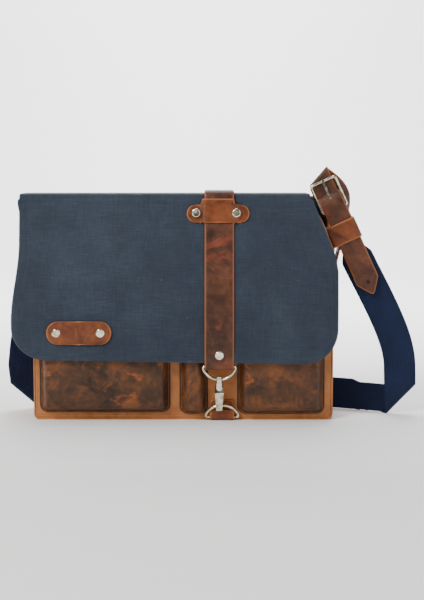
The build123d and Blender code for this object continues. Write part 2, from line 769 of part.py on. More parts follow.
with BuildSketch(strap_face(FRAME_Y)) as frame_outline:
    with Locations((0, (HEEL + FAR) / 2)):
        RectangleRounded(2 * FRAME_HALF, FAR - HEEL, 4)
bars = frame_outline.sketch.face().outer_wire()
with BuildPart() as buckle_frame:
    with BuildSketch(Plane(origin=bars @ 0, z_dir=bars % 0)):
        Circle(BAR)
    sweep(path=bars)
save(buckle_frame, "buckle_frame")

CHAPE_END = 52.0
with BuildPart() as buckle_chape:
    with BuildSketch(STRAP_SIDE.offset(-13)):
        with Locations((FRAME_Y, HEEL)):
            Circle(BAR_HOLE + THIN_LEATHER)
        for side in (-1, 1):
            with Locations((FRAME_Y + side * (BAR_HOLE + THIN_LEATHER / 2), HEEL)):
                Rectangle(THIN_LEATHER, HEEL + CHAPE_END, align=(Align.CENTER, Align.MAX))
        with Locations((FRAME_Y, HEEL)):
            Circle(BAR_HOLE, mode=Mode.SUBTRACT)
            Rectangle(2 * BAR_HOLE, HEEL + CHAPE_END, align=(Align.CENTER, Align.MAX), mode=Mode.SUBTRACT)
    extrude(amount=26)
    # slot for the prong
    with BuildSketch(strap_face(10)):
        with Locations((0, HEEL)):
            SlotOverall(14, PRONG_SLOT, rotation=90)
    extrude(amount=40, mode=Mode.SUBTRACT)
save(buckle_chape, "buckle_chape")

PRONG_WIDE = 3.4
PRONG_Y = FRAME_Y - BAR - 1.5
with BuildPart() as buckle_prong:
    with BuildSketch(STRAP_SIDE.offset(-PRONG_WIDE / 2)):
        with BuildLine():
            Polyline(
                (FRAME_Y - 2.9, HEEL),
                (PRONG_Y - 1.2, HEEL + 8),
                (PRONG_Y - 1.2, FAR + 2.5),
                (PRONG_Y + 1.2, FAR + 2.5),
                (PRONG_Y + 1.2, HEEL + 8),
                (FRAME_Y, HEEL + 2.4),
                close=True,
            )
        make_face()
        with Locations((FRAME_Y, HEEL)):
            Circle(3.0)
            Circle(BAR + 0.06, mode=Mode.SUBTRACT)
    extrude(amount=PRONG_WIDE)
save(buckle_prong, "buckle_prong")

KEEPER_TOP = -5.0
KEEPER_LONG = 27.0
with BuildPart() as strap_keeper:
    front_y = OVER - 0.4
    back_y = FRAME_Y + BAR_HOLE + THIN_LEATHER + 0.4
    keeper_plane = Plane(
        origin=strap_point(-KEEPER_TOP, (front_y + back_y) / 2), x_dir=ACROSS, z_dir=ALONG * -1
    )
    with BuildSketch(keeper_plane):
        RectangleRounded(BILLET_WIDTH + 1.4 + 2 * THIN_LEATHER, back_y - front_y + 2 * THIN_LEATHER, 3)
        RectangleRounded(BILLET_WIDTH + 1.4, back_y - front_y, 1, mode=Mode.SUBTRACT)
    extrude(amount=KEEPER_LONG)
save(strap_keeper, "strap_keeper")

# ---- webbing: down the right side, back along the floor behind the bag, up the left side ----
RUN_TOP = strap_point(CHAPE_END - 5, FRAME_Y)
RUN_FOOT = Vector(275.0, 8.0, 43.0)
RUN_DIR = (RUN_FOOT - RUN_TOP).normalized()
RUN_PLANE = Plane(origin=RUN_TOP, x_dir=ACROSS, z_dir=RUN_DIR.cross(ACROSS))
with BuildPart() as webbing_right_run:
    with BuildSketch(RUN_PLANE.offset(-WEBBING / 2)):
        with BuildLine():
            length = (RUN_FOOT - RUN_TOP).length
            half = WEBBING_WIDTH / 2
            Polyline(
                (-11, 0),
                (-11, -6),
                (-half, -12),
                (-half, -length),
                (half, -length),
                (half, -12),
                (11, -6),
                (11, 0),
                close=True,
            )
        make_face()
    extrude(amount=WEBBING)
save(webbing_right_run, "webbing_right_run")

BACK_RUN = [
    (279.0, 14.0),
    (266.0, 33.0),
    (232.0, 50.0),
    (180.0, 56.0),
    (0.0, 58.0),
    (-175.0, 56.0),
    (-203.0, 48.0),
    (-214.0, 34.0),
]
with BuildPart() as webbing_back_run:
    with BuildSketch(Plane.XY.offset(0.3)):
        with BuildLine(mode=Mode.PRIVATE) as floor_line:
            Polyline(*BACK_RUN)
        trace(floor_line.line, WEBBING)
    extrude(amount=WEBBING_WIDTH)
save(webbing_back_run, "webbing_back_run")

LEFT_RUN = [
    (-HALF_W - 4.4, 206.0),
    (-HALF_W - 4.9, 222.0),
    (-HALF_W - 8.0, 229.5),
    (-HALF_W - 11.5, 222.0),
    (-214.0, 42.5),
]
with BuildPart() as webbing_left_run:
    with BuildSketch(front_plane(-5.0)):
        with BuildLine(mode=Mode.PRIVATE) as side_line:
            Polyline(*LEFT_RUN)
        trace(side_line.line, WEBBING)
    extrude(amount=-WEBBING_WIDTH)
save(webbing_left_run, "webbing_left_run")

print("hook pivot", FOLD_Y, FOLD_Z, "lean", degrees(HOOK_LEAN), "reach", REACH)
print("hook axis", tuple(HOOK_PLANE.y_dir), "gate pin", tuple(HOOK_SIDE.from_local_coords(PIN)))
print("ring bar", CHAPE_Y, CHAPE_Z, "bow", tuple(BOW))
print("heel bar", tuple(strap_point(-HEEL, FRAME_Y)), "across", tuple(ACROSS), "along", tuple(ALONG))
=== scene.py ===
import json
import math

import bpy
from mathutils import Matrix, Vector, noise


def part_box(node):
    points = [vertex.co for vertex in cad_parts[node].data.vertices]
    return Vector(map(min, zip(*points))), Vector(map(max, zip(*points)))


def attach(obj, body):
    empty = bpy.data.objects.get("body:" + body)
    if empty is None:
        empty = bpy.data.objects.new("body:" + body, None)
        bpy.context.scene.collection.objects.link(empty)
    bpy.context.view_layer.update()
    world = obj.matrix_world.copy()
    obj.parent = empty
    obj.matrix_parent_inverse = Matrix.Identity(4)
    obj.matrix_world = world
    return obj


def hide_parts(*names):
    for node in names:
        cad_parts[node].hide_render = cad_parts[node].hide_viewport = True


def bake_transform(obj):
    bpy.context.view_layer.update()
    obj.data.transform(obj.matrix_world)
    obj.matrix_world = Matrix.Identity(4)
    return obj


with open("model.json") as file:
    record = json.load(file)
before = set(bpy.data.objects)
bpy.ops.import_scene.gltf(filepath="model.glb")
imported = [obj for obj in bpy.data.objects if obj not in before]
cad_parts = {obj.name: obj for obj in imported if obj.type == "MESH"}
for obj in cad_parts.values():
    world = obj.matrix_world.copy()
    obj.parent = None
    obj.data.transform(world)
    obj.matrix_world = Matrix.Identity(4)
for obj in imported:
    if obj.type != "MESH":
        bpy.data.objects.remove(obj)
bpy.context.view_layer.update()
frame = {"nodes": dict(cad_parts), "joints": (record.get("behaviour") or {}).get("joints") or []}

MM = 0.001


def corners(node):
    """Lowest and highest corners of a CAD node, in millimetres."""
    low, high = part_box(node)
    return Vector(low) / MM, Vector(high) / MM


# ---- places taken from the frame, in millimetres ----
PANEL_HIGH = corners("front_panel")[1]
TOP_LOW, TOP_HIGH = corners("flap_top_canvas")
FLAP_LOW, FLAP_HIGH = corners("flap_front_canvas")
ANCHOR_LOW, ANCHOR_HIGH = corners("flap_anchor")
STRAP_LOW, STRAP_HIGH = corners("closure_strap_front")
TAIL_LOW = corners("closure_strap_back")[0]
CHAPE_LOW, CHAPE_HIGH = corners("lower_chape")
HALF_W = PANEL_HIGH.x
HALF_D = corners("back_panel")[1].y
RIM_Z = PANEL_HIGH.z
GUSSET_TOP = corners("gusset")[1].z
FLAP_TOP = TOP_HIGH.z
CREASE_Y = TOP_LOW.y
BACK_CREASE_Y = ANCHOR_HIGH.y
KNEE_Y = FLAP_LOW.y
KNEE_Z = 150.0  # the flap slopes out above this height and hangs plumb below it
FOOT_Z = FLAP_LOW.z + 3.0  # middle of the flap's hem, before its slant
STRAP_X = (STRAP_LOW.x + STRAP_HIGH.x) / 2
STRAP_HALF = (STRAP_HIGH.x - STRAP_LOW.x) / 2
CLOTH, STRAP, GAP = 2.4, 2.5, 0.3  # thickness of canvas and strap, and the gap between them
WIRE = 1.85  # half the thickness of a ring's wire, with a little play
JOINTS = {joint["name"]: joint for joint in frame["joints"]}
PRONG = JOINTS["prong_lift"]
ACROSS = Vector(PRONG["axis"]).normalized()
HEEL = Vector(PRONG["pos_m"]) / MM
UPWARD = Vector((-ACROSS.z, 0, ACROSS.x))
RIGHT = Vector((1, 0, 0))
FRONT = Vector((0, -1, 0))
BACK = Vector((0, 1, 0))


# ---- camera, light and floor ----
def make_camera():
    elevation = math.radians(6.0)
    aim = Vector((36.4, -45.0, 153.8)) * MM
    distance = 1.6
    data = bpy.data.cameras.new("camera")
    sensor, seen_width = 36.0, 0.75
    data.lens = sensor * distance / seen_width
    data.clip_end = 20
    camera = bpy.data.objects.new("camera", data)
    bpy.context.scene.collection.objects.link(camera)
    camera.location = aim + Vector((0, -math.cos(elevation), math.sin(elevation))) * distance
    camera.rotation_euler = (math.pi / 2 - elevation, 0, 0)
    bpy.context.scene.camera = camera


def area_light(name, place, aim, size, power, colour):
    data = bpy.data.lights.new(name, "AREA")
    data.size = size
    data.energy = power
    data.color = colour
    lamp = bpy.data.objects.new(name, data)
    bpy.context.scene.collection.objects.link(lamp)
    lamp.location = place
    lamp.rotation_euler = (Vector(aim) - Vector(place)).to_track_quat("-Z", "Y").to_euler()


def set_stops(node, stops):
    """Give a colour ramp these (position, colour) stops."""
    elements = node.color_ramp.elements
    while len(elements) < len(stops):
        elements.new(0.5)
    for element, (position, colour) in zip(elements, stops):
        element.position = position
        element.color = (*colour, 1)


def make_lights():
    area_light("key", (-1.4, -1.7, 1.8), (0, 0, 0.15), 0.9, 62, (1.0, 0.98, 0.95))
    area_light("fill", (1.7, -1.5, 0.8), (0, 0, 0.15), 1.2, 12, (0.95, 0.97, 1.0))
    area_light("top", (0.1, 0.4, 2.0), (0, 0, 0.1), 1.0, 20, (1.0, 1.0, 1.0))
    area_light("backdrop_light", (0, 1.2, 1.9), (0, 2.8, 0.6), 1.6, 150, (1.0, 1.0, 1.0))
    world = bpy.data.worlds.new("studio")
    world.use_nodes = True
    background = world.node_tree.nodes["Background"]
    background.inputs["Strength"].default_value = 0.6
    # bright on the left and dark ahead, so that the metal has something to mirror
    direction = world.node_tree.nodes.new("ShaderNodeTexCoord")
    split = world.node_tree.nodes.new("ShaderNodeSeparateXYZ")
    spread = world.node_tree.nodes.new("ShaderNodeMapRange")
    spread.inputs["From Min"].default_value = -1.0
    ramp = world.node_tree.nodes.new("ShaderNodeValToRGB")
    levels = ((0.0, 1.0), (0.38, 1.0), (0.46, 0.12), (0.56, 0.12), (0.64, 0.75), (1.0, 0.6))
    set_stops(ramp, [(position, (level,) * 3) for position, level in levels])
    link = world.node_tree.links.new
    link(direction.outputs["Generated"], split.inputs["Vector"])
    link(split.outputs["X"], spread.inputs["Value"])
    link(spread.outputs["Result"], ramp.inputs["Fac"])
    link(ramp.outputs["Color"], background.inputs["Color"])
    bpy.context.scene.world = world


def make_floor():
    """Pale floor that sweeps up into a backdrop, in metres."""
    near, far, sweep, height, half_width = -4.0, 2.2, 0.8, 4.0, 5.0
    profile = [(near, 0.0), (far, 0.0)]
    for turn in (math.radians(6 * k) for k in range(1, 16)):
        profile.append((far + sweep * math.sin(turn), sweep - sweep * math.cos(turn)))
    profile.append((far + sweep, height))
    vertices = [(side, y, z) for y, z in profile for side in (-half_width, half_width)]
    faces = [(2 * k, 2 * k + 1, 2 * k + 3, 2 * k + 2) for k in range(len(profile) - 1)]
    mesh = bpy.data.meshes.new("floor")
    mesh.from_pydata(vertices, [], faces)
    mesh.polygons.foreach_set("use_smooth", [True] * len(faces))
    floor = bpy.data.objects.new("floor", mesh)
    bpy.context.scene.collection.objects.link(floor)
    material = bpy.data.materials.new("floor")
    material.use_nodes = True
    shader = material.node_tree.nodes["Principled BSDF"]
    shader.inputs["Base Color"].default_value = (0.92, 0.92, 0.92, 1)
    shader.inputs["Roughness"].default_value = 0.9
    mesh.materials.append(material)


make_camera()
make_lights()
make_floor()


# ---- materials ----
class Nodes:
    """Short calls for building one material's node tree."""

    def __init__(self, name):
        self.material = bpy.data.materials.new(name)
        self.material.use_nodes = True
        self.tree = self.material.node_tree
        self.shader = self.tree.nodes["Principled BSDF"]
        self.place = self.add("TexCoord", "Object", {})

    def feed(self, socket, value):
        """Set a socket to a plain value, or link it to a node's output."""
        if isinstance(value, (int, float, tuple)):
            socket.default_value = value
        else:
            self.tree.links.new(value, socket)

    def add(self, kind, output, values, **settings):
        """Output of a new node whose sockets get these values."""
        node = self.tree.nodes.new("ShaderNode" + kind)
        for name, value in settings.items():
            setattr(node, name, value)
        for name, value in values.items():
            self.feed(node.inputs[name], value)
        return node.outputs[output]

    def stretch(self, x, y, z, turn=0.0):
        values = {"Scale": (x, y, z), "Rotation": (0, turn, 0), "Vector": self.place}
        return self.add("Mapping", "Vector", values)

    def noise(self, scale, detail=3.0, rough=0.5, where=None, distortion=0.0):
        values = {"Scale": scale, "Detail": detail, "Roughness": rough, "Distortion": distortion}
        return self.add("TexNoise", "Fac", {**values, "Vector": where or self.place})

    def cells(self, scale, where=None):
        values = {"Scale": scale, "Vector": where or self.place}
        return self.add("TexVoronoi", "Distance", values, feature="DISTANCE_TO_EDGE")

    def wave(self, scale, direction="X", distortion=0.0, where=None):
        values = {"Scale": scale, "Distortion": distortion, "Detail": 1.0}
        values["Vector"] = where or self.place
        return self.add("TexWave", "Fac", values, bands_direction=direction)

    def ramp(self, factor, *stops):
        output = self.add("ValToRGB", "Color", {"Fac": factor})
        set_stops(output.node, stops)
        return output

    def level(self, factor, low, high, to_low=0.0, to_high=1.0):
        values = {"From Min": low, "From Max": high, "To Min": to_low, "To Max": to_high}
        return self.add("MapRange", "Result", {**values, "Value": factor})

    def mix(self, factor, *colours):
        first, second = ((*c, 1) if isinstance(c, tuple) else c for c in colours)
        return self.add("Mix", 2, {0: factor, 6: first, 7: second}, data_type="RGBA")

    def sum(self, *parts):
        """Weighted sum of (weight, factor) pairs."""
        total = 0.0
        for weight, factor in parts:
            values = {0: factor, 1: weight, 2: total}
            total = self.add("Math", 0, values, operation="MULTIPLY_ADD")
        return total

    def attribute(self, name):
        return self.add("Attribute", "Fac", {}, attribute_name=name)

    def finish(self, colour, roughness, height, strength, distance):
        values = {"Strength": strength, "Distance": distance, "Height": height}
        self.feed(self.shader.inputs["Base Color"], colour)
        self.feed(self.shader.inputs["Roughness"], roughness)
        self.feed(self.shader.inputs["Normal"], self.add("Bump", "Normal", values))
        return self.material


def canvas_material(name, dark, middle, pale):
    """Waxed canvas: fine weave, sparse slubs along both yarns, cloudy wax and a pale worn hem."""
    n = Nodes(name)
    weft = n.wave(620, "Z", 0.6)
    warp = n.wave(620, "X", 0.6)
    slubs = n.noise(1.0, 2.0, 0.6, n.stretch(60, 60, 900))
    threads = n.noise(1.0, 2.0, 0.6, n.stretch(900, 60, 70))
    cloud = n.noise(14.0, 5.0, 0.6)
    wax = n.noise(38.0, 6.0, 0.7, distortion=0.8)
    tone = n.sum((0.36, cloud), (0.20, wax), (0.20, slubs), (0.18, threads), (0.06, weft))
    colour = n.ramp(tone, (0.40, dark), (0.50, middle), (0.62, pale))
    flecks = n.level(n.noise(1.0, 3.0, 0.7, n.stretch(120, 90, 520), 1.0), 0.66, 0.76, 0.0, 0.55)
    colour = n.mix(flecks, colour, tuple(c * 2.2 for c in pale))
    worn = n.level(n.attribute("rim"), 0.0016, 0.0, 0.0, 0.5)
    colour = n.mix(worn, colour, tuple(c * 1.8 for c in pale))
    height = n.sum((0.5, weft), (0.5, warp), (0.8, slubs), (0.8, threads), (0.6, wax))
    n.shader.inputs["Specular IOR Level"].default_value = 0.28
    return n.finish(colour, n.level(wax, 0.3, 0.7, 0.55, 0.8), height, 0.4, 0.0005)


def leather_material(
    name, deep, body, warm, pale, rim_colour, wear, hot=(0, 0, 0), streaks=0.0, gloss=0.45
):
    """Pull-up leather: mottled colour, scuffs, hot streaks, creases, fine grain and cut edges."""
    n = Nodes(name)
    cloud = n.noise(26.0, 6.0, 0.66, distortion=1.2)
    patches = n.noise(11.0, 4.0, 0.6, n.stretch(1.0, 1.0, 1.4, 0.6), 0.8)
    scuffs = n.noise(1.0, 4.0, 0.75, n.stretch(44, 30, 24, 0.8), 1.8)
    creases = n.cells(1.0, n.stretch(30, 20, 46, -0.5))
    fine = n.noise(160.0, 4.0, 0.7)
    grain = n.cells(900.0)
    pores = n.noise(1400.0, 2.0)
    tone = n.sum((0.50, cloud), (0.34, patches), (0.16, fine))
    colour = n.ramp(tone, (0.38, deep), (0.49, body), (0.63, warm))
    rubbed = n.level(scuffs, 0.56, 0.72, 0.0, wear)
    colour = n.mix(rubbed, colour, pale)
    if streaks:
        swirl = n.noise(12.0, 6.0, 0.75, n.stretch(1.0, 1.0, 1.3, -0.7), 2.2)
        colour = n.mix(n.level(swirl, 0.56, 0.66, 0.0, streaks), colour, hot)
    edge = n.level(n.attribute("rim"), 0.0017, 0.0004, 0.0, 0.9)
    colour = n.mix(edge, colour, rim_colour)
    height = n.sum((0.6, grain), (0.3, pores), (0.9, cloud), (0.5, fine), (0.5, creases))
    n.shader.inputs["Specular IOR Level"].default_value = 0.28
    n.shader.inputs["Coat Weight"].default_value = 0.06
    n.shader.inputs["Coat Roughness"].default_value = 0.35
    roughness = n.level(cloud, 0.3, 0.7, gloss - 0.03, gloss + 0.18)
    return n.finish(colour, roughness, height, 0.3, 0.0005)


def webbing_material(name):
    """Ribbed webbing: ribs across the band and cords along it."""
    n = Nodes(name)
    band = n.add("CombineXYZ", 0, {0: n.attribute("across"), 1: n.attribute("along")})
    ribs = n.wave(230, "Y", 0.2, band)
    cords = n.wave(150, "X", 0.0, band)
    cloud = n.noise(25.0, 3.0)
    tone = n.sum((0.4, ribs), (0.25, cords), (0.35, cloud))
    dark, middle, pale = (0.002, 0.005, 0.018), (0.004, 0.011, 0.040), (0.009, 0.022, 0.075)
    colour = n.ramp(tone, (0.3, dark), (0.52, middle), (0.8, pale))
    n.shader.inputs["Specular IOR Level"].default_value = 0.2
    return n.finish(colour, 0.7, n.sum((1.0, ribs), (0.8, cords)), 0.6, 0.0005)


def twill_material(name, dark, pale):
    n = Nodes(name)
    diagonal = n.wave(480, "DIAGONAL", 0.4)
    cloud = n.noise(30.0, 4.0)
    colour = n.ramp(n.sum((0.4, diagonal), (0.6, cloud)), (0.3, dark), (0.7, pale))
    return n.finish(colour, 0.9, diagonal, 0.4, 0.0003)


def metal_material(name):
    n = Nodes(name)
    haze_and_painted_sheen = n.noise(150.0, 4.0)
    scratches = n.noise(1.0, 2.0, 0.6, n.stretch(1800, 240, 300, 0.6))
    # the colour runs from dark to pale gold with this noise: painted reflection, dark patches for
    # mirrored shade and pale ones for glints; the same noise also sets the roughness and the bump
    colour = n.ramp(haze_and_painted_sheen, (0.35, (0.46, 0.38, 0.25)), (0.62, (0.92, 0.86, 0.70)))
    n.shader.inputs["Metallic"].default_value = 1.0
    roughness = n.level(n.sum((0.6, haze_and_painted_sheen), (0.4, scratches)), 0.35, 0.7, 0.10, 0.26)
    return n.finish(colour, roughness, n.sum((1.0, haze_and_painted_sheen), (0.2, scratches)), 0.25, 0.0006)


def thread_material(name, dark, pale):
    n = Nodes(name)
    twist = n.wave(900, "DIAGONAL", 0.5)
    colour = n.ramp(n.sum((0.5, twist), (0.5, n.noise(300.0))), (0.3, dark), (0.7, pale))
    return n.finish(colour, 0.75, twist, 0.4, 0.0002)


NAVY = canvas_material(
    "waxed_canvas", (0.013, 0.020, 0.033), (0.020, 0.030, 0.048), (0.034, 0.048, 0.069)
)
TAN = leather_material(
    "tan_leather", (0.25, 0.080, 0.020), (0.38, 0.135, 0.038), (0.47, 0.185, 0.058),
    (0.56, 0.26, 0.10), (0.13, 0.040, 0.013), 0.30, gloss=0.42,
)
POCKET = leather_material(
    "pocket_leather", (0.014, 0.008, 0.005), (0.062, 0.025, 0.010), (0.19, 0.062, 0.016),
    (0.26, 0.075, 0.018), (0.020, 0.009, 0.005), 0.45,
    hot=(0.42, 0.11, 0.022), streaks=0.6, gloss=0.36,
)
BROWN = leather_material(
    "strap_leather", (0.024, 0.009, 0.005), (0.062, 0.022, 0.011), (0.13, 0.043, 0.019),
    (0.20, 0.068, 0.030), (0.26, 0.088, 0.026), 0.45,
    hot=(0.30, 0.052, 0.025), streaks=0.4, gloss=0.38,
)
RUST = leather_material(
    "plate_leather", (0.055, 0.014, 0.006), (0.125, 0.034, 0.011), (0.24, 0.066, 0.018),
    (0.34, 0.105, 0.032), (0.36, 0.115, 0.034), 0.4,
    hot=(0.34, 0.07, 0.02), streaks=0.3, gloss=0.34,
)
WEBBING = webbing_material("navy_webbing")
COTTON = twill_material("cotton_lining", (0.012, 0.016, 0.026), (0.035, 0.043, 0.062))
BOARD = twill_material("fibre_board", (0.05, 0.04, 0.035), (0.10, 0.085, 0.07))
SHADE = twill_material("hole_shade", (0.006, 0.004, 0.003), (0.016, 0.010, 0.008))
NICKEL = metal_material("nickel")
NAVY_THREAD = thread_material("navy_thread", (0.012, 0.018, 0.03), (0.045, 0.062, 0.088))
TAN_THREAD = thread_material("tan_thread", (0.28, 0.13, 0.05), (0.55, 0.32, 0.16))
BROWN_THREAD = thread_material("brown_thread", (0.16, 0.07, 0.03), (0.34, 0.16, 0.07))


# ---- mesh tools; everything here is in millimetres, except the stored numbers ----
FAR_FROM_EDGE = 0.01


def link_object(name, vertices, faces, material, body, smooth=True):
    mesh = bpy.data.meshes.new(name)
    mesh.from_pydata([tuple(v * MM) for v in vertices], [], faces)
    mesh.materials.append(material)
    mesh.polygons.foreach_set("use_smooth", [smooth] * len(mesh.polygons))
    mesh.update()
    obj = bpy.data.objects.new(name, mesh)
    bpy.context.scene.collection.objects.link(obj)
    if body:
        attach(obj, body)
    return obj


def store(obj, label, values):
    """Keep one number a vertex on the mesh, for its material to read."""
    obj.data.attributes.new(label, "FLOAT", "POINT").data.foreach_set("value", values)


def bent_path(points, radii, step=2.0):
    """Points along straight runs joined by arcs: radii has one radius for each inner corner."""
    points = [Vector(p) for p in points]
    marks = [points[0]]
    for before, corner, after, radius in zip(points, points[1:], points[2:], radii):
        inward, outward = (before - corner).normalized(), (after - corner).normalized()
        half = inward.angle(outward) / 2
        reach = radius / math.tan(half)
        centre = corner + (inward + outward).normalized() * (radius / math.sin(half))
        start, end = corner + inward * reach, corner + outward * reach
        arm, other = start - centre, end - centre
        turn = arm.angle(other)
        pieces = max(3, int(math.degrees(turn) / 9))
        for k in range(pieces + 1):
            share = k / pieces
            mixed = arm * math.sin((1 - share) * turn) + other * math.sin(share * turn)
            marks.append(centre + mixed / math.sin(turn))
    marks.append(points[-1])
    path = [marks[0]]
    for here in marks[1:]:
        gap = (here - path[-1]).length
        start = path[-1]
        count = max(1, round(gap / step))
        path.extend(start.lerp(here, k / count) for k in range(1, count + 1))
    return path


def grid_normals(grid):
    rows, columns = len(grid), len(grid[0])
    normals = []
    for i in range(rows):
        line = []
        for j in range(columns):
            down = grid[min(i + 1, rows - 1)][j] - grid[max(i - 1, 0)][j]
            side = grid[i][min(j + 1, columns - 1)] - grid[i][max(j - 1, 0)]
            normal = down.cross(side)
            line.append(normal.normalized() if normal.length > 1e-9 else FRONT.copy())
        normals.append(line)
    return normals


def running(points):
    """Distance along a line at each of its points."""
    total = [0.0]
    for a, b in zip(points, points[1:]):
        total.append(total[-1] + (b - a).length)
    return total


def place_at(total, distance):
    """Stretch of a line at this running distance, and the share of that stretch."""
    for k in range(len(total) - 1):
        if total[k + 1] >= distance:
            return k, (distance - total[k]) / max(1e-9, total[k + 1] - total[k])
    return len(total) - 2, 1.0


def bezier(t, *points):
    last = len(points) - 1
    weights = [math.comb(last, k) * (1 - t) ** (last - k) * t**k for k in range(last + 1)]
    return sum((point * weight for point, weight in zip(points, weights)), Vector())


def shares(columns):
    """Evenly spaced places across a band, from -1 to 1."""
    return [2 * j / (columns - 1) - 1 for j in range(columns)]


def row(centre, side, half, columns):
    """Points across a band at one place along it."""
    return [centre + side * (half * u) for u in shares(columns)]


def corner_cut(lift, radius):
    """How far a rounded corner cuts in at a height above its end."""
    return radius - math.sqrt(max(0.0, radius**2 - (radius - lift) ** 2)) if lift < radius else 0.0


def hanging_line(x_low, x_high, y, foot, tops, radius, step):
    """Line down one side, along the foot and up the other, with rounded corners."""
    points = [(x_low, y, tops[0]), (x_low, y, foot), (x_high, y, foot), (x_high, y, tops[1])]
    return bent_path(points, [radius] * 2, step)


def slab(name, grid, thick, material, body, inside=None, edge=None):
    """Closed sheet of the given thickness about a grid of middle points, with rounded edges.

    The outer face is on the side of (direction down the rows) x (direction along a row). rim,
    along and across are stored for the materials: distance to the nearest edge, and place on
    the band.
    """
    rows, columns = len(grid), len(grid[0])
    normals = grid_normals(grid)
    lengths = [running([grid[i][j] for i in range(rows)]) for j in range(columns)]
    widths = [running(line) for line in grid]
    vertices, rim, along, across = [], [], [], []

    def put(point, i, j, depth):
        vertices.append(point)
        length, width = lengths[j], widths[i]
        edge_gap = min(length[i], length[-1] - length[i], width[j], width[-1] - width[j])
        rim.append(max(0.0, edge_gap if depth else 0.0) * MM)
        along.append(lengths[columns // 2][i] * MM)
        across.append(width[j] * MM)

    for side in (0.5, -0.5):
        for i in range(rows):
            for j in range(columns):
                put(grid[i][j] + normals[i][j] * (thick * side), i, j, 1)
    count = rows * columns
    loop = [(0, j) for j in range(columns)]
    loop += [(i, columns - 1) for i in range(1, rows)]
    loop += [(rows - 1, j) for j in range(columns - 2, -1, -1)]
    loop += [(i, 0) for i in range(rows - 2, 0, -1)]
    for i, j in loop:
        inner = grid[min(max(i, 1), rows - 2)][min(max(j, 1), columns - 2)]
        away = grid[i][j] - inner
        away -= normals[i][j] * away.dot(normals[i][j])
        away = away.normalized() if away.length > 1e-9 else away
        put(grid[i][j] + away * (thick * 0.3), i, j, 0)
    faces = []
    for i in range(rows - 1):
        for j in range(columns - 1):
            a, b = i * columns + j, i * columns + j + 1
            c, d = (i + 1) * columns + j + 1, (i + 1) * columns + j
            faces.append((a, d, c, b))
            faces.append((count + a, count + b, count + c, count + d))
    total = len(loop)
    for k, (i, j) in enumerate(loop):
        following = loop[(k + 1) % total]
        a, b = i * columns + j, following[0] * columns + following[1]
        m, n = 2 * count + k, 2 * count + (k + 1) % total
        faces.append((a, b, n, m))
        faces.append((m, n, count + b, count + a))
    obj = link_object(name, vertices, faces, material, body)
    for label, values in (("rim", rim), ("along", along), ("across", across)):
        store(obj, label, values)
    if inside:
        obj.data.materials.append(inside)
        for k in range(1, 2 * (rows - 1) * (columns - 1), 2):
            obj.data.polygons[k].material_index = 1
    if edge:
        obj.data.materials.append(edge)
        for k in range(2 * (rows - 1) * (columns - 1), len(faces)):
            obj.data.polygons[k].material_index = len(obj.data.materials) - 1
    return obj


def strap_grid(centres, sides, half, columns=9):
    """Rows across a path: sides are unit vectors along the width, and half a number or a list."""
    grid = []
    for k, (centre, side) in enumerate(zip(centres, sides)):
        reach = half[k] if isinstance(half, list) else half
        grid.append(row(centre, side, reach, columns))
    return grid


def tube(name, points, radius, material, body, closed=False):
    vertices, faces, around = [], [], 8
    count = len(points)
    up = Vector((0.31, 0.17, 0.93)).normalized()
    for k, point in enumerate(points):
        after = points[(k + 1) % count] if closed or k < count - 1 else point
        before = points[k - 1] if closed or k > 0 else point
        along = (after - before).normalized()
        side = along.cross(up).normalized()
        other = side.cross(along).normalized()
        for m in range(around):
            turn = 2 * math.pi * m / around
            across, up_way = radius * math.cos(turn), radius * math.sin(turn)
            vertices.append(point + side * across + other * up_way)
    for k in range(count if closed else count - 1):
        for m in range(around):
            a, b = k * around + m, k * around + (m + 1) % around
            c, d = ((k + 1) % count) * around + (m + 1) % around, ((k + 1) % count) * around + m
            faces.append((a, b, c, d))
    if not closed:
        faces.append(tuple(reversed(range(around))))
        faces.append(tuple(range((count - 1) * around, count * around)))
    obj = link_object(name, vertices, faces, material, body)
    store(obj, "rim", [FAR_FROM_EDGE] * len(vertices))
    return obj


def stitches(name, line, normals, material, body, pitch=3.4, length=2.4, thick=0.32):
    """Row of short raised stitches along a line that lies on a surface."""
    total = running(line)
    vertices, faces = [], []
    # each ring's place along the stitch, its size, and its lift as a share of the thickness
    around, low, high = 6, -0.15625, 0.6875
    rings = ((0, 0.35, low), (0.2, 1, high), (0.8, 1, high), (1, 0.35, low))

    def at(distance):
        k, share = place_at(total, distance)
        return line[k].lerp(line[k + 1], share), normals[k]

    for number in range(int(total[-1] / pitch)):
        start, normal = at(number * pitch + 0.4)
        end, _ = at(number * pitch + 0.4 + length)
        forward = end - start
        if forward.length < 1e-6:
            continue
        forward.normalize()
        side = forward.cross(normal).normalized()
        base = len(vertices)
        for share, size, lift in rings:
            middle = start.lerp(end, share) + normal * (lift * thick)
            for m in range(around):
                turn = 2 * math.pi * m / around
                arm = side * math.cos(turn) + normal * (0.7 * math.sin(turn))
                vertices.append(middle + arm * (thick * size))
        for ring in range(len(rings) - 1):
            for m in range(around):
                a, b = base + ring * around + m, base + ring * around + (m + 1) % around
                faces.append((a, b, b + around, a + around))
        faces.append(tuple(base + m for m in reversed(range(around))))
        faces.append(tuple(range(len(vertices) - around, len(vertices))))
    return link_object(name, vertices, faces, material, body)


def smooth_step(value):
    value = min(1.0, max(0.0, value))
    return value * value * (3 - 2 * value)


def ripple(point, scale, amount):
    return noise.noise(point / scale) * amount


# ---- body: one lofted shell, sagging between its seams ----
# the rim dips at the shoulder strap: where each slope starts, its height there and its fall
DIP, DIP_KNEE = (155, 280, 1.55), (172, 253.6, 2.2)


def body_top(x, y, drop=0.0):
    """Height of the shell's rim: full at the panels, lower at the ends and the strap's corner."""
    rim = RIM_Z
    if abs(x) > HALF_W - 3.5 and abs(y) < HALF_D - 1.5:
        rim = GUSSET_TOP + (RIM_Z - GUSSET_TOP) * smooth_step((abs(y) - (HALF_D - 7)) / 5.5)
    if y < 0 and x > DIP[0]:
        start, height, fall = DIP if x < DIP_KNEE[0] else DIP_KNEE
        rim = min(rim, height - (x - start) * fall)
    return rim - drop


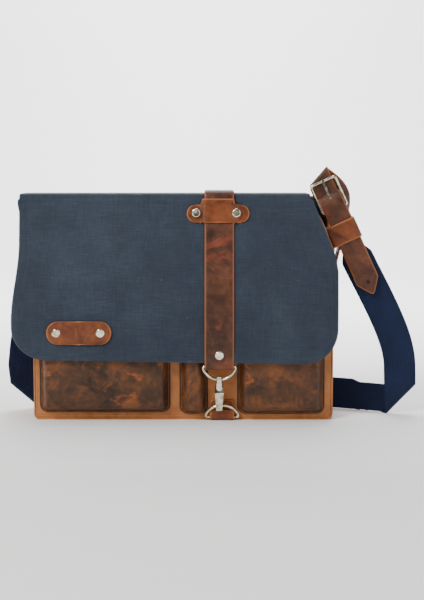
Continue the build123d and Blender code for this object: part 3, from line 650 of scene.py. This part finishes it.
def body_shell(name, inset, drop, material, wall, back_material=None):
    """Open box with rounded corners, inset from the bag's outside: its object and its rim."""
    half_x, half_y, round_by = HALF_W - inset, HALF_D - inset, max(2.0, 7.0 - inset)
    base_z = inset
    inner_x, inner_y = half_x - round_by, half_y - round_by
    # each side's start and end and its number of points, and the corner after it
    sides = (
        ((-inner_x, -half_y), (inner_x, -half_y), 76, (inner_x, -inner_y), -90),
        ((half_x, -inner_y), (half_x, inner_y), 18, (inner_x, inner_y), 0),
        ((inner_x, half_y), (-inner_x, half_y), 76, (-inner_x, inner_y), 90),
        ((-half_x, inner_y), (-half_x, -inner_y), 18, (-inner_x, -inner_y), 180),
    )
    outline = []
    for start, end, pieces, (centre_x, centre_y), first in sides:
        start, end = Vector((*start, 0)), Vector((*end, 0))
        outline += [start.lerp(end, k / pieces) for k in range(pieces)]
        for k in range(5):
            turn = math.radians(first + 90 * k / 5)
            out_x, out_y = round_by * math.cos(turn), round_by * math.sin(turn)
            outline.append(Vector((centre_x + out_x, centre_y + out_y, 0)))

    heights = [(base_z, 5.5), (base_z + 0.7, 2.6), (base_z + 2.4, 0.8), (base_z + 5.5, 0.0)]
    levels = 60
    count = len(outline)
    vertices, faces = [], []
    for k in range(len(heights) + levels):
        for point in outline:
            top = body_top(point.x * HALF_W / half_x, point.y * HALF_D / half_y, drop)
            if k < len(heights):
                z, tuck = heights[k]
            else:
                z = base_z + 5.5 + (top - base_z - 5.5) * (k - len(heights) + 1) / levels
                tuck = 0.0
            share = z / RIM_Z
            x = point.x - math.copysign(tuck, point.x) * (abs(point.x) > inner_x)
            y = point.y - math.copysign(tuck, point.y) * (abs(point.y) > inner_y)
            if abs(point.x) > half_x - 0.5:
                # the ends pinch in along their middle
                pinch = 7.0 * smooth_step((share - 0.12) / 0.6) * (1 - (point.y / half_y) ** 2)
                x -= math.copysign(pinch, point.x)
            if abs(point.y) > half_y - 0.5 and k > 3:
                crown = (1 - (point.x / half_x) ** 2) * math.sin(math.pi * min(1, share))
                y += math.copysign(0.9 * crown, point.y)
            place = Vector((x, y, z))
            place += BACK * ripple(place + Vector((400, 0, 0)), 60, 0.6 if k > 4 else 0)
            vertices.append(place)
    rows = len(heights) + levels
    for k in range(rows - 1):
        for m in range(count):
            a, b = k * count + m, k * count + (m + 1) % count
            faces.append((a, b, b + count, a + count))
    faces.append(tuple(reversed(range(count))))
    shell = link_object(name, vertices, faces, material, None)
    rims = [FAR_FROM_EDGE] * len(vertices)
    for m in range(count):
        rims[(rows - 1) * count + m] = 0.0
    store(shell, "rim", rims)
    if back_material:
        shell.data.materials.append(back_material)
        for polygon in shell.data.polygons:
            if polygon.normal.y > 0.7 and polygon.center.z > 0.004:
                polygon.material_index = 1
    thicken = shell.modifiers.new("wall", "SOLIDIFY")
    thicken.thickness = wall * MM
    thicken.offset = -1
    bake_modifiers(shell)
    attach(shell, "bag")
    rim_line = [vertices[(rows - 1) * count + m] for m in range(count)]
    return shell, rim_line


def bake_modifiers(obj):
    bpy.context.view_layer.update()
    evaluated = obj.evaluated_get(bpy.context.evaluated_depsgraph_get())
    mesh = bpy.data.meshes.new_from_object(evaluated)
    obj.modifiers.clear()
    obj.data = mesh


def make_body():
    shell, rim_line = body_shell("body_shell", 0.0, 0.0, TAN, 2.4, NAVY)
    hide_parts("front_panel", "back_panel", "gusset")
    inner, _ = body_shell("lining_bag", 3.2, 4.0, COTTON, 0.8)
    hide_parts("lining")
    bound = []
    for point in rim_line:
        # the binding is centred on the wall, which lies inside the shell's outer face
        move_x = -math.copysign(1.2, point.x) * (abs(point.x) > HALF_W - 9)
        move_y = -math.copysign(1.2, point.y) * (abs(point.y) > HALF_D - 2)
        bound.append(point + Vector((move_x, move_y, 0.3)))
    tube("rim_binding", bound, 1.7, TAN, "bag", closed=True)
    for label, out, right_top in (("front", FRONT, 218.0), ("back", BACK, RIM_Z - 3)):
        y = out.y * (HALF_D - 0.6)
        # the piping sits on the rounded corner between panel and gusset
        reach, edge_y = HALF_W - 1.5, y - out.y
        seam = hanging_line(-reach, reach, edge_y, 0.9, (RIM_Z - 3, right_top), 7.0, 4.0)
        tube(f"piping_{label}", seam, 1.25, TAN, "bag")
        inset = 4.6
        reach, tops = HALF_W - inset, (RIM_Z - 6, right_top - 8)
        line = hanging_line(-reach, reach, y, inset + 0.6, tops, 4.0, 4.0)
        line = [point + out * 0.75 for point in line]
        normals = [out] * len(line)
        stitches(f"panel_stitches_{label}", line, normals, TAN_THREAD, "bag")


# ---- moulded pockets ----
def make_pocket(node, seed):
    low, high = corners(node)
    radius, depth, wall = 10.0, high.y - low.y, 2.0
    width = high.x - low.x
    rows, columns = 62, max(17, int(width / 2.4))
    grid = []
    for i in range(rows):
        # rows crowd together in the rounded foot
        share = i / (rows - 1)
        z = low.z + (high.z - low.z) * (1 - share) ** 1.35
        lift = z - low.z
        cut = corner_cut(lift, radius)
        line = []
        for j in range(columns):
            u = j / (columns - 1)
            u = 0.5 - 0.5 * math.cos(math.pi * u) * (0.55 + 0.45 * abs(math.cos(math.pi * u)))
            x = low.x + cut + (width - 2 * cut) * u
            edge = min(x - low.x, high.x - x, lift)
            if lift < radius and (x < low.x + radius or x > high.x - radius):
                centre_x = low.x + radius if x < low.x + radius else high.x - radius
                edge = radius - math.hypot(x - centre_x, radius - lift)
            rise = 1.1 + (depth - 2.2) * smooth_step((edge - 2.6) / 7.5) ** 0.8
            rise += 0.8 * smooth_step((edge - 10) / 30)
            wave = ripple(Vector((x + seed, 0, z)), 26, 0.8) * smooth_step((edge - 4) / 10)
            line.append(Vector((x, high.y - rise - wave, z)))
        grid.append(line)
    obj = slab(f"{node}_moulded", grid, wall, POCKET, "bag")
    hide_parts(node)
    inset = 1.7
    line = hanging_line(
        low.x + inset, high.x - inset, high.y, low.z + inset, [high.z - 2] * 2, radius - inset, 2.5
    )
    line = [point + FRONT * 2.2 for point in line]
    normals = [FRONT] * len(line)
    stitches(
        f"{node}_stitches", line, normals, BROWN_THREAD, "bag", 3.0, 2.1, 0.28
    )


# ---- flap ----
LEFT_TOP, LEFT_LOW = TOP_LOW.x, FLAP_LOW.x
RIGHT_TOP, RIGHT_LOW = TOP_HIGH.x, FLAP_HIGH.x
FLAP_CORNER = 42.0


def flap_sides(z):
    """Left and right edge of the front run at height z."""
    if z > 225:
        left = LEFT_TOP - 2.0 * smooth_step((z - 262) / 12) * smooth_step((FLAP_TOP + 2 - z) / 8)
    else:
        left = LEFT_TOP + (LEFT_LOW - LEFT_TOP) * smooth_step((225 - z) / 100)
    corners_at = (
        (FLAP_TOP, RIGHT_TOP), (264, RIGHT_TOP + 9), (240, RIGHT_LOW - 15),
        (222, RIGHT_LOW - 8), (205, RIGHT_LOW - 2), (190, RIGHT_LOW + 0.5),
    )
    right = RIGHT_LOW + 0.5
    for (z_high, x_high), (z_low, x_low) in zip(corners_at, corners_at[1:]):
        if z_low <= z <= z_high:
            right = x_low + (x_high - x_low) * (z - z_low) / (z_high - z_low)
    cut = corner_cut(max(0.0, z - FOOT_Z), FLAP_CORNER)
    return left + cut, right - cut


def flap_profile(shift, first, last):
    """Side view of the flap's face moved out by shift, from the back over the top and down."""
    back = BACK_CREASE_Y + shift
    top = FLAP_TOP + shift
    front = CREASE_Y - shift
    knee = KNEE_Y - shift
    points = [Vector((0, back, first)), Vector((0, back, top)), Vector((0, front, top))]
    points += [Vector((0, knee, KNEE_Z)), Vector((0, knee, last))]
    return bent_path(points, [3.2 + shift, 4.0 + shift, 160.0], 2.2)


def top_middle(path):
    """Index of the profile's point where the top run is cut in two."""
    return min(range(len(path)), key=lambda k: abs(path[k].y) + (path[k].z < FLAP_TOP - 6) * 999)


def flap_wave(point, fade):
    place = Vector((point.x, 0, point.z - point.y))
    return (ripple(place, 95, 1.5) + ripple(place + Vector((90, 0, 0)), 33, 0.45)) * fade


def flap_rows(path, columns):
    """Grid of the flap along its profile, with its outline, its slanting hem and its waves."""
    grid = []
    for point in path:
        on_front = point.y < CREASE_Y + 0.5 and point.z < FLAP_TOP - 2
        if on_front:
            left, right = flap_sides(point.z)
        elif point.y > BACK_CREASE_Y - 4 and point.z < FLAP_TOP - 2:
            share = smooth_step((FLAP_TOP - 2 - point.z) / 14)
            left = LEFT_TOP + (ANCHOR_LOW.x - LEFT_TOP) * share
            right = RIGHT_TOP
        else:
            left, right = LEFT_TOP, RIGHT_TOP
        line = []
        for j in range(columns):
            u = j / (columns - 1)
            place = Vector((left + (right - left) * u, point.y, point.z))
            if on_front:
                fade = smooth_step((FLAP_TOP - point.z) / 40)
                place.y -= 0.9 + flap_wave(place, fade * 0.8)
                near_foot = smooth_step((KNEE_Z - 10 - point.z) / 60)
                place.z += (2.2 - 5.0 * u) * near_foot
                place.y -= 1.2 * near_foot * smooth_step((FOOT_Z + 26 - point.z) / 26)
            elif point.y < BACK_CREASE_Y - 4:
                place.z += ripple(Vector((place.x, place.y, 0)), 60, 0.5) * smooth_step(
                    (BACK_CREASE_Y - 6 - abs(point.y)) / 20
                )
            line.append(place)
        grid.append(line)
    return grid


def make_flap():
    columns = 150
    outer = flap_profile(-CLOTH / 2, ANCHOR_LOW.z, FOOT_Z)
    split = top_middle(outer)
    # rows crowd together where the foot's corners turn
    front_path = outer[split:]
    foot = [p for p in front_path if p.z < FOOT_Z + FLAP_CORNER]
    upper = front_path[: len(front_path) - len(foot)]
    steps = 34
    curved = []
    for k in range(steps + 1):
        share = 1 - math.sin(math.pi / 2 * k / steps)
        curved.append(Vector((0, foot[-1].y, FOOT_Z + (foot[0].z - FOOT_Z) * share)))
    front_grid = flap_rows(upper + curved, columns)
    back_grid = flap_rows(outer[: split + 1], columns)
    back_piece = slab("flap_canvas_back", back_grid, CLOTH, NAVY, None, COTTON, NAVY)
    front_piece = slab("flap_canvas_front", front_grid, CLOTH, NAVY, None, COTTON, NAVY)
    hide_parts("flap_anchor", "flap_top_canvas", "flap_top_lining")
    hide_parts("flap_front_canvas", "flap_front_lining")
    bend_over(back_piece)
    bend_over(front_piece)
    # hem stitching round the front run's three free edges
    hem = 5.5
    normals = grid_normals(front_grid)
    start = next(k for k, line in enumerate(front_grid) if line[0].z < FLAP_TOP - 12)
    left_line, right_line = [], []
    for k in range(start, len(front_grid)):
        widths = running(front_grid[k])
        if front_grid[k][columns // 2].z < FOOT_Z + hem + 3.4:
            break
        left_line.append((k, next(j for j, w in enumerate(widths) if w >= hem)))
        right = next(j for j in range(columns - 1, 0, -1) if widths[-1] - widths[j] >= hem)
        right_line.append((k, right))
    last, first_column = left_line[-1]
    bottom = [(last, j) for j in range(first_column + 1, right_line[-1][1])]
    places = left_line + bottom + right_line[::-1]
    line = [front_grid[i][j] + normals[i][j] * (CLOTH / 2 + 0.02) for i, j in places]
    out = [normals[i][j] for i, j in places]
    stitches("flap_hem_stitches", line, out, NAVY_THREAD, "flap_front", 3.2, 2.2, 0.3)


def bend_over(obj):
    """Bake a piece's transform into its mesh."""
    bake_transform(obj)


# ---- closure strap, its plate and the name plate ----
def make_closure_strap():
    shift = GAP + STRAP / 2 + 0.9
    fold_z = STRAP_LOW.z + STRAP + WIRE
    path = flap_profile(shift, TAIL_LOW.z, fold_z)
    split = top_middle(path)
    tail = []
    for point in path[: split + 1]:
        on_back = point.y > BACK_CREASE_Y
        tail.append(STRAP_HALF - (corner_cut(point.z - TAIL_LOW.z, 9.0) if on_back else 0.0))
    centres = [Vector((STRAP_X, p.y, p.z)) for p in path[: split + 1]]
    back_grid = strap_grid(centres, [RIGHT] * len(centres), tail, 13)
    back_strap = slab("closure_strap_rear", back_grid, STRAP, BROWN, None)
    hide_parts("closure_strap_back", "closure_strap_top")
    bend_over(back_strap)

    front = path[split:]
    fold_radius = WIRE + STRAP / 2
    centre = Vector((0, front[-1].y + fold_radius, fold_z))
    for k in range(1, 13):
        turn = math.pi * k / 12
        front.append(centre + Vector((0, -math.cos(turn), -math.sin(turn))) * fold_radius)
    front += [Vector((0, centre.y + fold_radius, fold_z + rise)) for rise in (3, 8, 14, 20, 25)]
    centres = [Vector((STRAP_X, p.y, p.z)) for p in front]
    front_grid = strap_grid(centres, [RIGHT] * len(centres), STRAP_HALF, 13)
    front_strap = slab("closure_strap_face", front_grid, STRAP, BROWN, None)
    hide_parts("closure_strap_front")
    bend_over(front_strap)


def slope_point(x, height, out):
    """Point in front of the flap's sloping upper run, at this height and this far out."""
    share = (FLAP_TOP - height) / (FLAP_TOP - KNEE_Z)
    y = CREASE_Y + (KNEE_Y - CREASE_Y) * min(1.0, share)
    return Vector((x, y - 0.9 - out, height))


def make_strap_plate():
    low, high = corners("strap_plate")
    middle_x = (low.x + high.x) / 2
    lobe, reach = 11.0, (high.x - low.x) / 2
    core = STRAP_HALF + 2.0
    bottom, top = low.z, high.z
    axis_z = bottom + lobe
    rows, columns = 44, 61
    grid = []
    for i in range(rows):
        share = 0.5 - 0.5 * math.cos(math.pi * i / (rows - 1))
        z = top + (bottom - top) * share
        v = z - axis_z
        stadium = reach - lobe + math.sqrt(max(0.0, lobe**2 - v**2)) if abs(v) <= lobe else 0.0
        flare = math.exp(-((max(0.0, v - 5) / 5.0) ** 2))
        shoulder = core + (reach - lobe - core + 3) * flare if v > 0 else 0.0
        half = max(stadium, shoulder, core if v > 0 else 0.0)
        line = []
        for u in shares(columns):
            x = middle_x + half * u
            away = abs(x - STRAP_X) - STRAP_HALF
            out = 1.3 + (STRAP + GAP + 0.2) * (1 - smooth_step((away + 0.5) / 7.0))
            line.append(slope_point(x, z, out))
        grid.append(line)
    plate = slab("strap_plate_draped", grid, 2.0, RUST, "flap_front")
    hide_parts("strap_plate")


def make_name_plate():
    low, high = corners("name_plate")
    middle = (low + high) / 2
    radius, reach = (high.z - low.z) / 2, (high.x - low.x) / 2
    rows, columns = 32, 49
    grid = []
    for i in range(rows):
        v = radius * math.cos(math.pi * i / (rows - 1))
        half = reach - radius + math.sqrt(max(0.0, radius**2 - v**2))
        centre = Vector((middle.x, KNEE_Y - 2.4, middle.z + v))
        grid.append(row(centre, RIGHT, half, columns))
    plate = slab("name_plate_leather", grid, 2.2, RUST, "flap_front")
    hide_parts("name_plate")


# ---- loop of leather round the lower ring ----
def make_lower_chape():
    ring = Vector(JOINTS["ring_swing"]["pos_m"]) / MM
    middle_x = (CHAPE_LOW.x + CHAPE_HIGH.x) / 2
    half = (CHAPE_HIGH.x - CHAPE_LOW.x) / 2
    radius = WIRE + 1.0
    path = [Vector((middle_x, ring.y + radius, z)) for z in (CHAPE_HIGH.z, 19, 13, 9)]
    for k in range(13):
        turn = math.pi * k / 12
        behind, below = radius * math.cos(turn), radius * math.sin(turn)
        path.append(Vector((middle_x, ring.y + behind, ring.z - below)))
    top = CHAPE_LOW.z + 12.6
    path += [Vector((middle_x, ring.y - radius, z)) for z in (ring.z + 3, top - 1.5)]
    path.append(Vector((middle_x, ring.y - radius + 0.5, top)))
    # rows run down the back and up the front, so the outer face is away from the ring
    grid = strap_grid(path, [RIGHT] * len(path), half, 11)
    loop = slab("lower_chape_loop", grid, 2.0, RUST, "bag")
    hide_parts("lower_chape")


# ---- shoulder strap ----
def fold(point, normal, back, radius):
    """Fold a flat band back over itself: point is relative to the crease's middle."""
    ahead = point.dot(normal)
    beside = point - normal * ahead
    if ahead <= 0:
        return point
    if ahead < math.pi * radius:
        turn = ahead / radius
        return beside + normal * (radius * math.sin(turn)) + back * (radius * (1 - math.cos(turn)))
    return beside - normal * (ahead - math.pi * radius) + back * (2 * radius)


def folded_rows(
    corner, arriving, leaving, side, half, back, radius, before, after, columns, step=2.5
):
    """Rows of a band that arrives at a corner, folds there and leaves, before and after it."""
    crease = (arriving + leaving).normalized()
    normal = (arriving - crease * arriving.dot(crease)).normalized()
    skew = side.dot(normal) / arriving.dot(normal)
    rows = []
    count = int((before + after) / step)
    for k in range(count + 1):
        s = -before + (before + after) * k / count
        near = 1 - smooth_step((abs(s) - 4) / 26)
        line = []
        for u in shares(columns):
            w = half * u
            flat = arriving * (s - skew * w * near) + side * w
            line.append(corner + fold(flat, normal, back, radius))
        rows.append(line)
    return rows


def on_strap(up, across, y):
    """Point of the buckle strap: up is the distance above the heel bar."""
    return Vector((HEEL.x, y, HEEL.z)) + UPWARD * up + ACROSS * across


BILLET_HALF = 14.5
UNDER_Y, OVER_Y = -7.4, -15.9
FOLD_UP = 45.0
TIP_DOWN = -117.0


def billet_depth(up):
    """Depth of the billet's middle: behind the far bar, over the heel bar."""
    share = smooth_step((up - 5) / 30)
    return OVER_Y + (UNDER_Y - OVER_Y) * share


def make_billet():
    """One strap: pointed tip, front run, fold behind the buckle, then down to the gusset's tab."""
    columns, steps = 13, 70
    point_long, tip_half = 18, 1.2
    rows = []
    for k in range(steps + 1):
        up = TIP_DOWN + (FOLD_UP - 25 - TIP_DOWN) * k / steps
        half = BILLET_HALF
        if up - TIP_DOWN < point_long:
            half = tip_half + (BILLET_HALF - tip_half) * ((up - TIP_DOWN) / point_long) ** 0.92
        rows.append(row(on_strap(up, 0, billet_depth(up)), ACROSS, half, columns))
    crease = Vector((0.656, 0, 0.755))
    leaving = (crease * (2 * UPWARD.dot(crease)) - UPWARD).normalized()
    corner = on_strap(FOLD_UP, -2.0, UNDER_Y)
    rows += folded_rows(
        corner, UPWARD, leaving, ACROSS, BILLET_HALF, BACK, 1.6, 24.0, 4.0, columns, 2.0
    )
    last = rows[-1]
    centre = last[columns // 2]
    side = (last[-1] - last[0]).normalized()
    tab_high = corners("right_anchor_tab")[1]
    outside = tab_high.x + 1.4
    control = (
        centre,
        centre + leaving * 10 - UPWARD * 8,
        Vector((outside + 36, -1.5, tab_high.z + 54)),
        Vector((outside + 6, 0, tab_high.z + 20)),
        Vector((outside, 0, tab_high.z - 26)),
    )
    steps = 44
    for t in (k / steps for k in range(1, steps + 1)):
        turn = smooth_step((t - 0.15) / 0.75)
        width = (side * (1 - turn) + BACK * turn).normalized()
        rows.append(row(bezier(t, *control), width, BILLET_HALF, columns))
    billet = slab("billet_strap", rows, 2.1, BROWN, "bag")
    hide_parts("billet", "billet_loop", "billet_riser")
    # the hole near the tip: a rim and a dark plug just proud of the leather
    points, hole_up = 20, -101
    turns = [2 * math.pi * m / points for m in range(points)]

    def circle(radius, depth):
        return [
            on_strap(hole_up + radius * math.sin(turn), radius * math.cos(turn), OVER_Y + depth)
            for turn in turns
        ]

    tube("billet_hole_0", circle(2.1, -1.12), 0.35, SHADE, "bag", closed=True)
    faces = [(m, m + points, (m + 1) % points + points, (m + 1) % points) for m in range(points)]
    faces = [tuple(range(points)), tuple(reversed(range(points, 2 * points)))] + faces
    plug = circle(2.0, -1.1) + circle(2.0, -0.6)
    link_object("billet_hole_dark_0", plug, faces, SHADE, "bag", smooth=False)


def make_buckle_chape():
    radius = 1.8 + 1.0  # the heel bar's wire and half the leather
    end = -62.0
    ups = (end, end + 15, end + 30, end + 45, -8, -3)
    path = [on_strap(up, 0, HEEL.y - radius) for up in ups]
    for turn in (math.pi * k / 12 for k in range(1, 12)):
        path.append(on_strap(radius * math.sin(turn), 0, HEEL.y - radius * math.cos(turn)))
    path += [on_strap(up, 0, HEEL.y + radius) for up in reversed(ups)]
    grid = strap_grid(path, [ACROSS] * len(path), 13.0, 9)
    chape = slab("buckle_chape_loop", grid, 1.9, BROWN, "bag")
    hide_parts("buckle_chape")


def make_keeper():
    low, high = corners("strap_keeper")
    centre = (low + high) / 2
    middle_up = (centre - HEEL).dot(UPWARD)
    half_long, corner_r, aside, columns = 13.0, 3.0, -2.6, 13
    wide, deep = BILLET_HALF + 4.6, (high.y - low.y) / 2 - 1.1
    ring = []
    for right, front, first in ((1, 1, 0), (-1, 1, 90), (-1, -1, 180), (1, -1, 270)):
        for turn in (math.radians(first + 15 * k) for k in range(7)):
            ring.append((
                right * (wide - corner_r) + corner_r * math.cos(turn),
                front * (deep - corner_r) + corner_r * math.sin(turn),
            ))
    dense = []
    for a, b in zip(ring, ring[1:] + ring[:1]):
        count = max(1, int(math.hypot(b[0] - a[0], b[1] - a[1]) / 2.5))
        for k in range(count):
            dense.append((a[0] + (b[0] - a[0]) * k / count, a[1] + (b[1] - a[1]) * k / count))
    dense.append(dense[0])
    grid = [
        row(on_strap(middle_up, across + aside, centre.y + out), UPWARD, half_long, columns)
        for across, out in dense
    ]
    keeper = slab("keeper_loop", grid, 2.0, RUST, "keeper")
    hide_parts("strap_keeper")


def make_anchor_tab(node, rivets_side):
    low, high = corners(node)
    middle, half, rows = (low + high) / 2, (high.y - low.y) / 2, 26
    grid = []
    for k in range(rows):
        z = high.z + (low.z - high.z) * (k / (rows - 1))
        reach = rivets_side * (half - corner_cut(z - low.z, 9.0))
        grid.append(row(Vector((middle.x, middle.y, z)), BACK, reach, 9))
    tab = slab(f"{node}_leather", grid, 2.0, BROWN, "bag")
    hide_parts(node)


def plan_curve(points):
    """Smooth floor route through the given points, with a look-up by distance."""
    curve = []
    padded = [points[0] * 2 - points[1]] + points + [points[-1] * 2 - points[-2]]
    for a, b, c, d in zip(padded, padded[1:], padded[2:], padded[3:]):
        for k in range(24):
            t = k / 24
            curve.append(0.5 * (
                b * 2 + (c - a) * t + (a * 2 - b * 5 + c * 4 - d) * t * t
                + (b * 3 - a - c * 3 + d) * t**3
            ))
    curve.append(points[-1])
    total = running(curve)

    def at(distance):
        if distance <= 0:
            return curve[0] + (curve[1] - curve[0]).normalized() * distance
        k, share = place_at(total, distance)
        return curve[k].lerp(curve[k + 1], share)

    return at, total[-1]


def make_webbing():
    """One band: right run, fold at the floor, run behind the bag, fold and left run to its tab."""
    half, columns, loose = 20.0, 17, 2.2
    floor_mid = half + 0.8
    lean = 0.06  # the right run leans forward as it rises
    foot = Vector((281.0, 6.0, floor_mid + 1.0))
    arriving = Vector((0.04, 0.06, -0.985)).normalized()
    plane_arriving = (arriving - BACK * arriving.y).normalized()
    straight, after = 42.0, 60.0
    start = on_strap(-50.0, 0, HEEL.y)
    join = foot - plane_arriving * straight + FRONT * (lean * straight)
    control = (start, start - UPWARD * 62, join - arriving * 45, join)
    steps = 60
    centres = [bezier(k / steps, *control) for k in range(steps + 1)]
    rows = []
    for k, centre in enumerate(centres[:-1]):
        along = (centres[k + 1] - centres[max(0, k - 1)]).normalized()
        side = along.cross(BACK).normalized() * -1
        taper = 0.62 + 0.38 * smooth_step(k / 6)
        wave = ripple(centre, 50, 1.2) * smooth_step(k / 12) * smooth_step((steps - k) / 12)
        rows.append(row(centre + BACK * wave, side, half * taper, columns))
    side = plane_arriving.cross(BACK).normalized() * -1
    leaving = Vector((-1, 0, 0))
    folded = folded_rows(
        foot, plane_arriving, leaving, side, half, BACK, loose, straight, after, columns
    )
    # behind the fold the band follows this route on the floor
    lead = 16
    begin = foot.x - lead
    route = [(begin, foot.y + 4.4), (252, 18), (225, 32), (192, 46), (150, 54)]
    route += [(60, 57), (-60, 57.5), (-140, 54.5)]
    floor_at, _ = plan_curve([Vector((x, y, 0)) for x, y in route])
    for line in folded:
        for j, point in enumerate(line):
            if point.y <= foot.y + 4.0:
                line[j] = point + FRONT * (lean * max(0.0, point.z - floor_mid))
            elif point.x < begin:
                there = floor_at(begin - point.x)
                line[j] = Vector((there.x, there.y + (point.y - foot.y - 4.4), point.z))
    rows += folded
    rising = -1 if rows[-1][0].z > rows[-1][-1].z else 1
    gone = after + 5.0
    while (there := floor_at(gone - lead)).x > -139:
        wave = ripple(there + Vector((0, 0, 7)), 70, 1.5) * smooth_step((gone - after) / 50)
        centre = Vector((there.x, there.y, floor_mid))
        rows.append(row(centre, Vector((0, wave / half, rising)), half, columns))
        gone += 5.0
    # left run, worked out from its tab down to its fold, then joined on in reverse
    tab_low, tab_high = corners("left_anchor_tab")
    across_dir = Vector((0.90, 0.44, 0)).normalized()
    behind = Vector((-0.44, 0.90, 0)).normalized()
    left_foot = Vector((-209.0, 37.0, floor_mid))
    down = (Vector((0, 0, -1)) + across_dir * 0.10).normalized()
    route = [(1.6, 14, -20), (1.8, 14, 4), (5.5, 14.5, 10), (9.5, 15, 2), (12.5, 19, -40)]
    route = [Vector((tab_low.x - out, y, tab_high.z + up)) for out, y, up in route]
    route += [Vector((tab_low.x - 14.5, 27, 118)), left_foot - down * 40]
    at, length = plan_curve(route)
    count = int(length / 3)
    left = []
    for share in (k / count for k in range(count + 1)):
        turn = smooth_step((share - 0.35) / 0.6)
        width = (BACK * (1 - turn) + across_dir * turn).normalized()
        left.append(row(at(length * share), width, half, columns))
    left += folded_rows(
        left_foot, down, across_dir, across_dir, half, behind, loose, 37.0, 48.0, columns
    )
    rising = Vector((0, 0, 1 if left[-1][-1].z > left[-1][0].z else -1))
    tail, meet = left[-1][columns // 2], rows[-1][columns // 2]
    control = (tail, tail + across_dir * 22, meet + Vector((-24, 0, 0)), meet)
    for t in (k / 16 for k in range(1, 16)):
        centre = bezier(t, *control)
        left.append(row(Vector((centre.x, centre.y, floor_mid)), rising, half, columns))
    left.reverse()
    if (left[0][0].z > left[0][-1].z) != (rows[-1][0].z > rows[-1][-1].z):
        left = [line[::-1] for line in left]
    grid = rows + left
    for line in grid:
        for point in line:
            point.z = max(point.z, 1.1)
    band = slab("webbing_band", grid, 1.9, WEBBING, "bag")
    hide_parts("webbing_right_run", "webbing_back_run", "webbing_left_run")


# ---- inside ----
def make_inside():
    low, high = corners("divider")
    middle_y, half = (low.y + high.y) / 2, (high.x - low.x) / 2
    grid = []
    for i in range(40):
        z = high.z + (low.z - high.z) * i / 39
        cut = corner_cut(high.z - z, 14)
        grid.append([
            Vector((u * (half - cut), middle_y + ripple(Vector((u * 180, 3, z)), 70, 0.8), z))
            for u in shares(61)
        ])
    pad = slab("divider_pad", grid, 4.8, COTTON, "bag")
    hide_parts("divider")
    low, high = corners("inner_pocket")
    grid = []
    for i in range(30):
        z = high.z + (low.z - high.z) * i / 29
        line = []
        for u in shares(41):
            x = (low.x + high.x) / 2 + u * (high.x - low.x) / 2
            edge = min(x - low.x, high.x - x, z - low.z)
            rise = (high.y - low.y - 1.6) * smooth_step(edge / 9)
            line.append(Vector((x, high.y - 0.8 - rise, z)))
        grid.append(line)
    pouch = slab("inner_pouch", grid, 1.1, COTTON, "bag")
    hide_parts("inner_pocket")


def dress_cad_nodes():
    """Better materials on the CAD pieces whose shapes stay."""
    metal = (
        "strap_plate_rivets name_plate_rivets closure_rivet right_anchor_rivets "
        "left_anchor_rivets hook_eye hook_body gate_pin hook_gate lower_ring buckle_frame "
        "buckle_prong"
    )
    for node in metal.split() + ["base_board"]:
        obj = frame["nodes"][node]
        for entry in obj.material_slots:
            entry.material = BOARD if node == "base_board" else NICKEL


make_body()
for number, pocket in enumerate(("left_pocket", "middle_pocket", "right_pocket")):
    make_pocket(pocket, 70 * number)
make_flap()
make_closure_strap()
make_strap_plate()
make_name_plate()
make_lower_chape()
make_billet()
make_buckle_chape()
make_keeper()
make_anchor_tab("right_anchor_tab", 1)
make_anchor_tab("left_anchor_tab", -1)
make_webbing()
make_inside()
dress_cad_nodes()
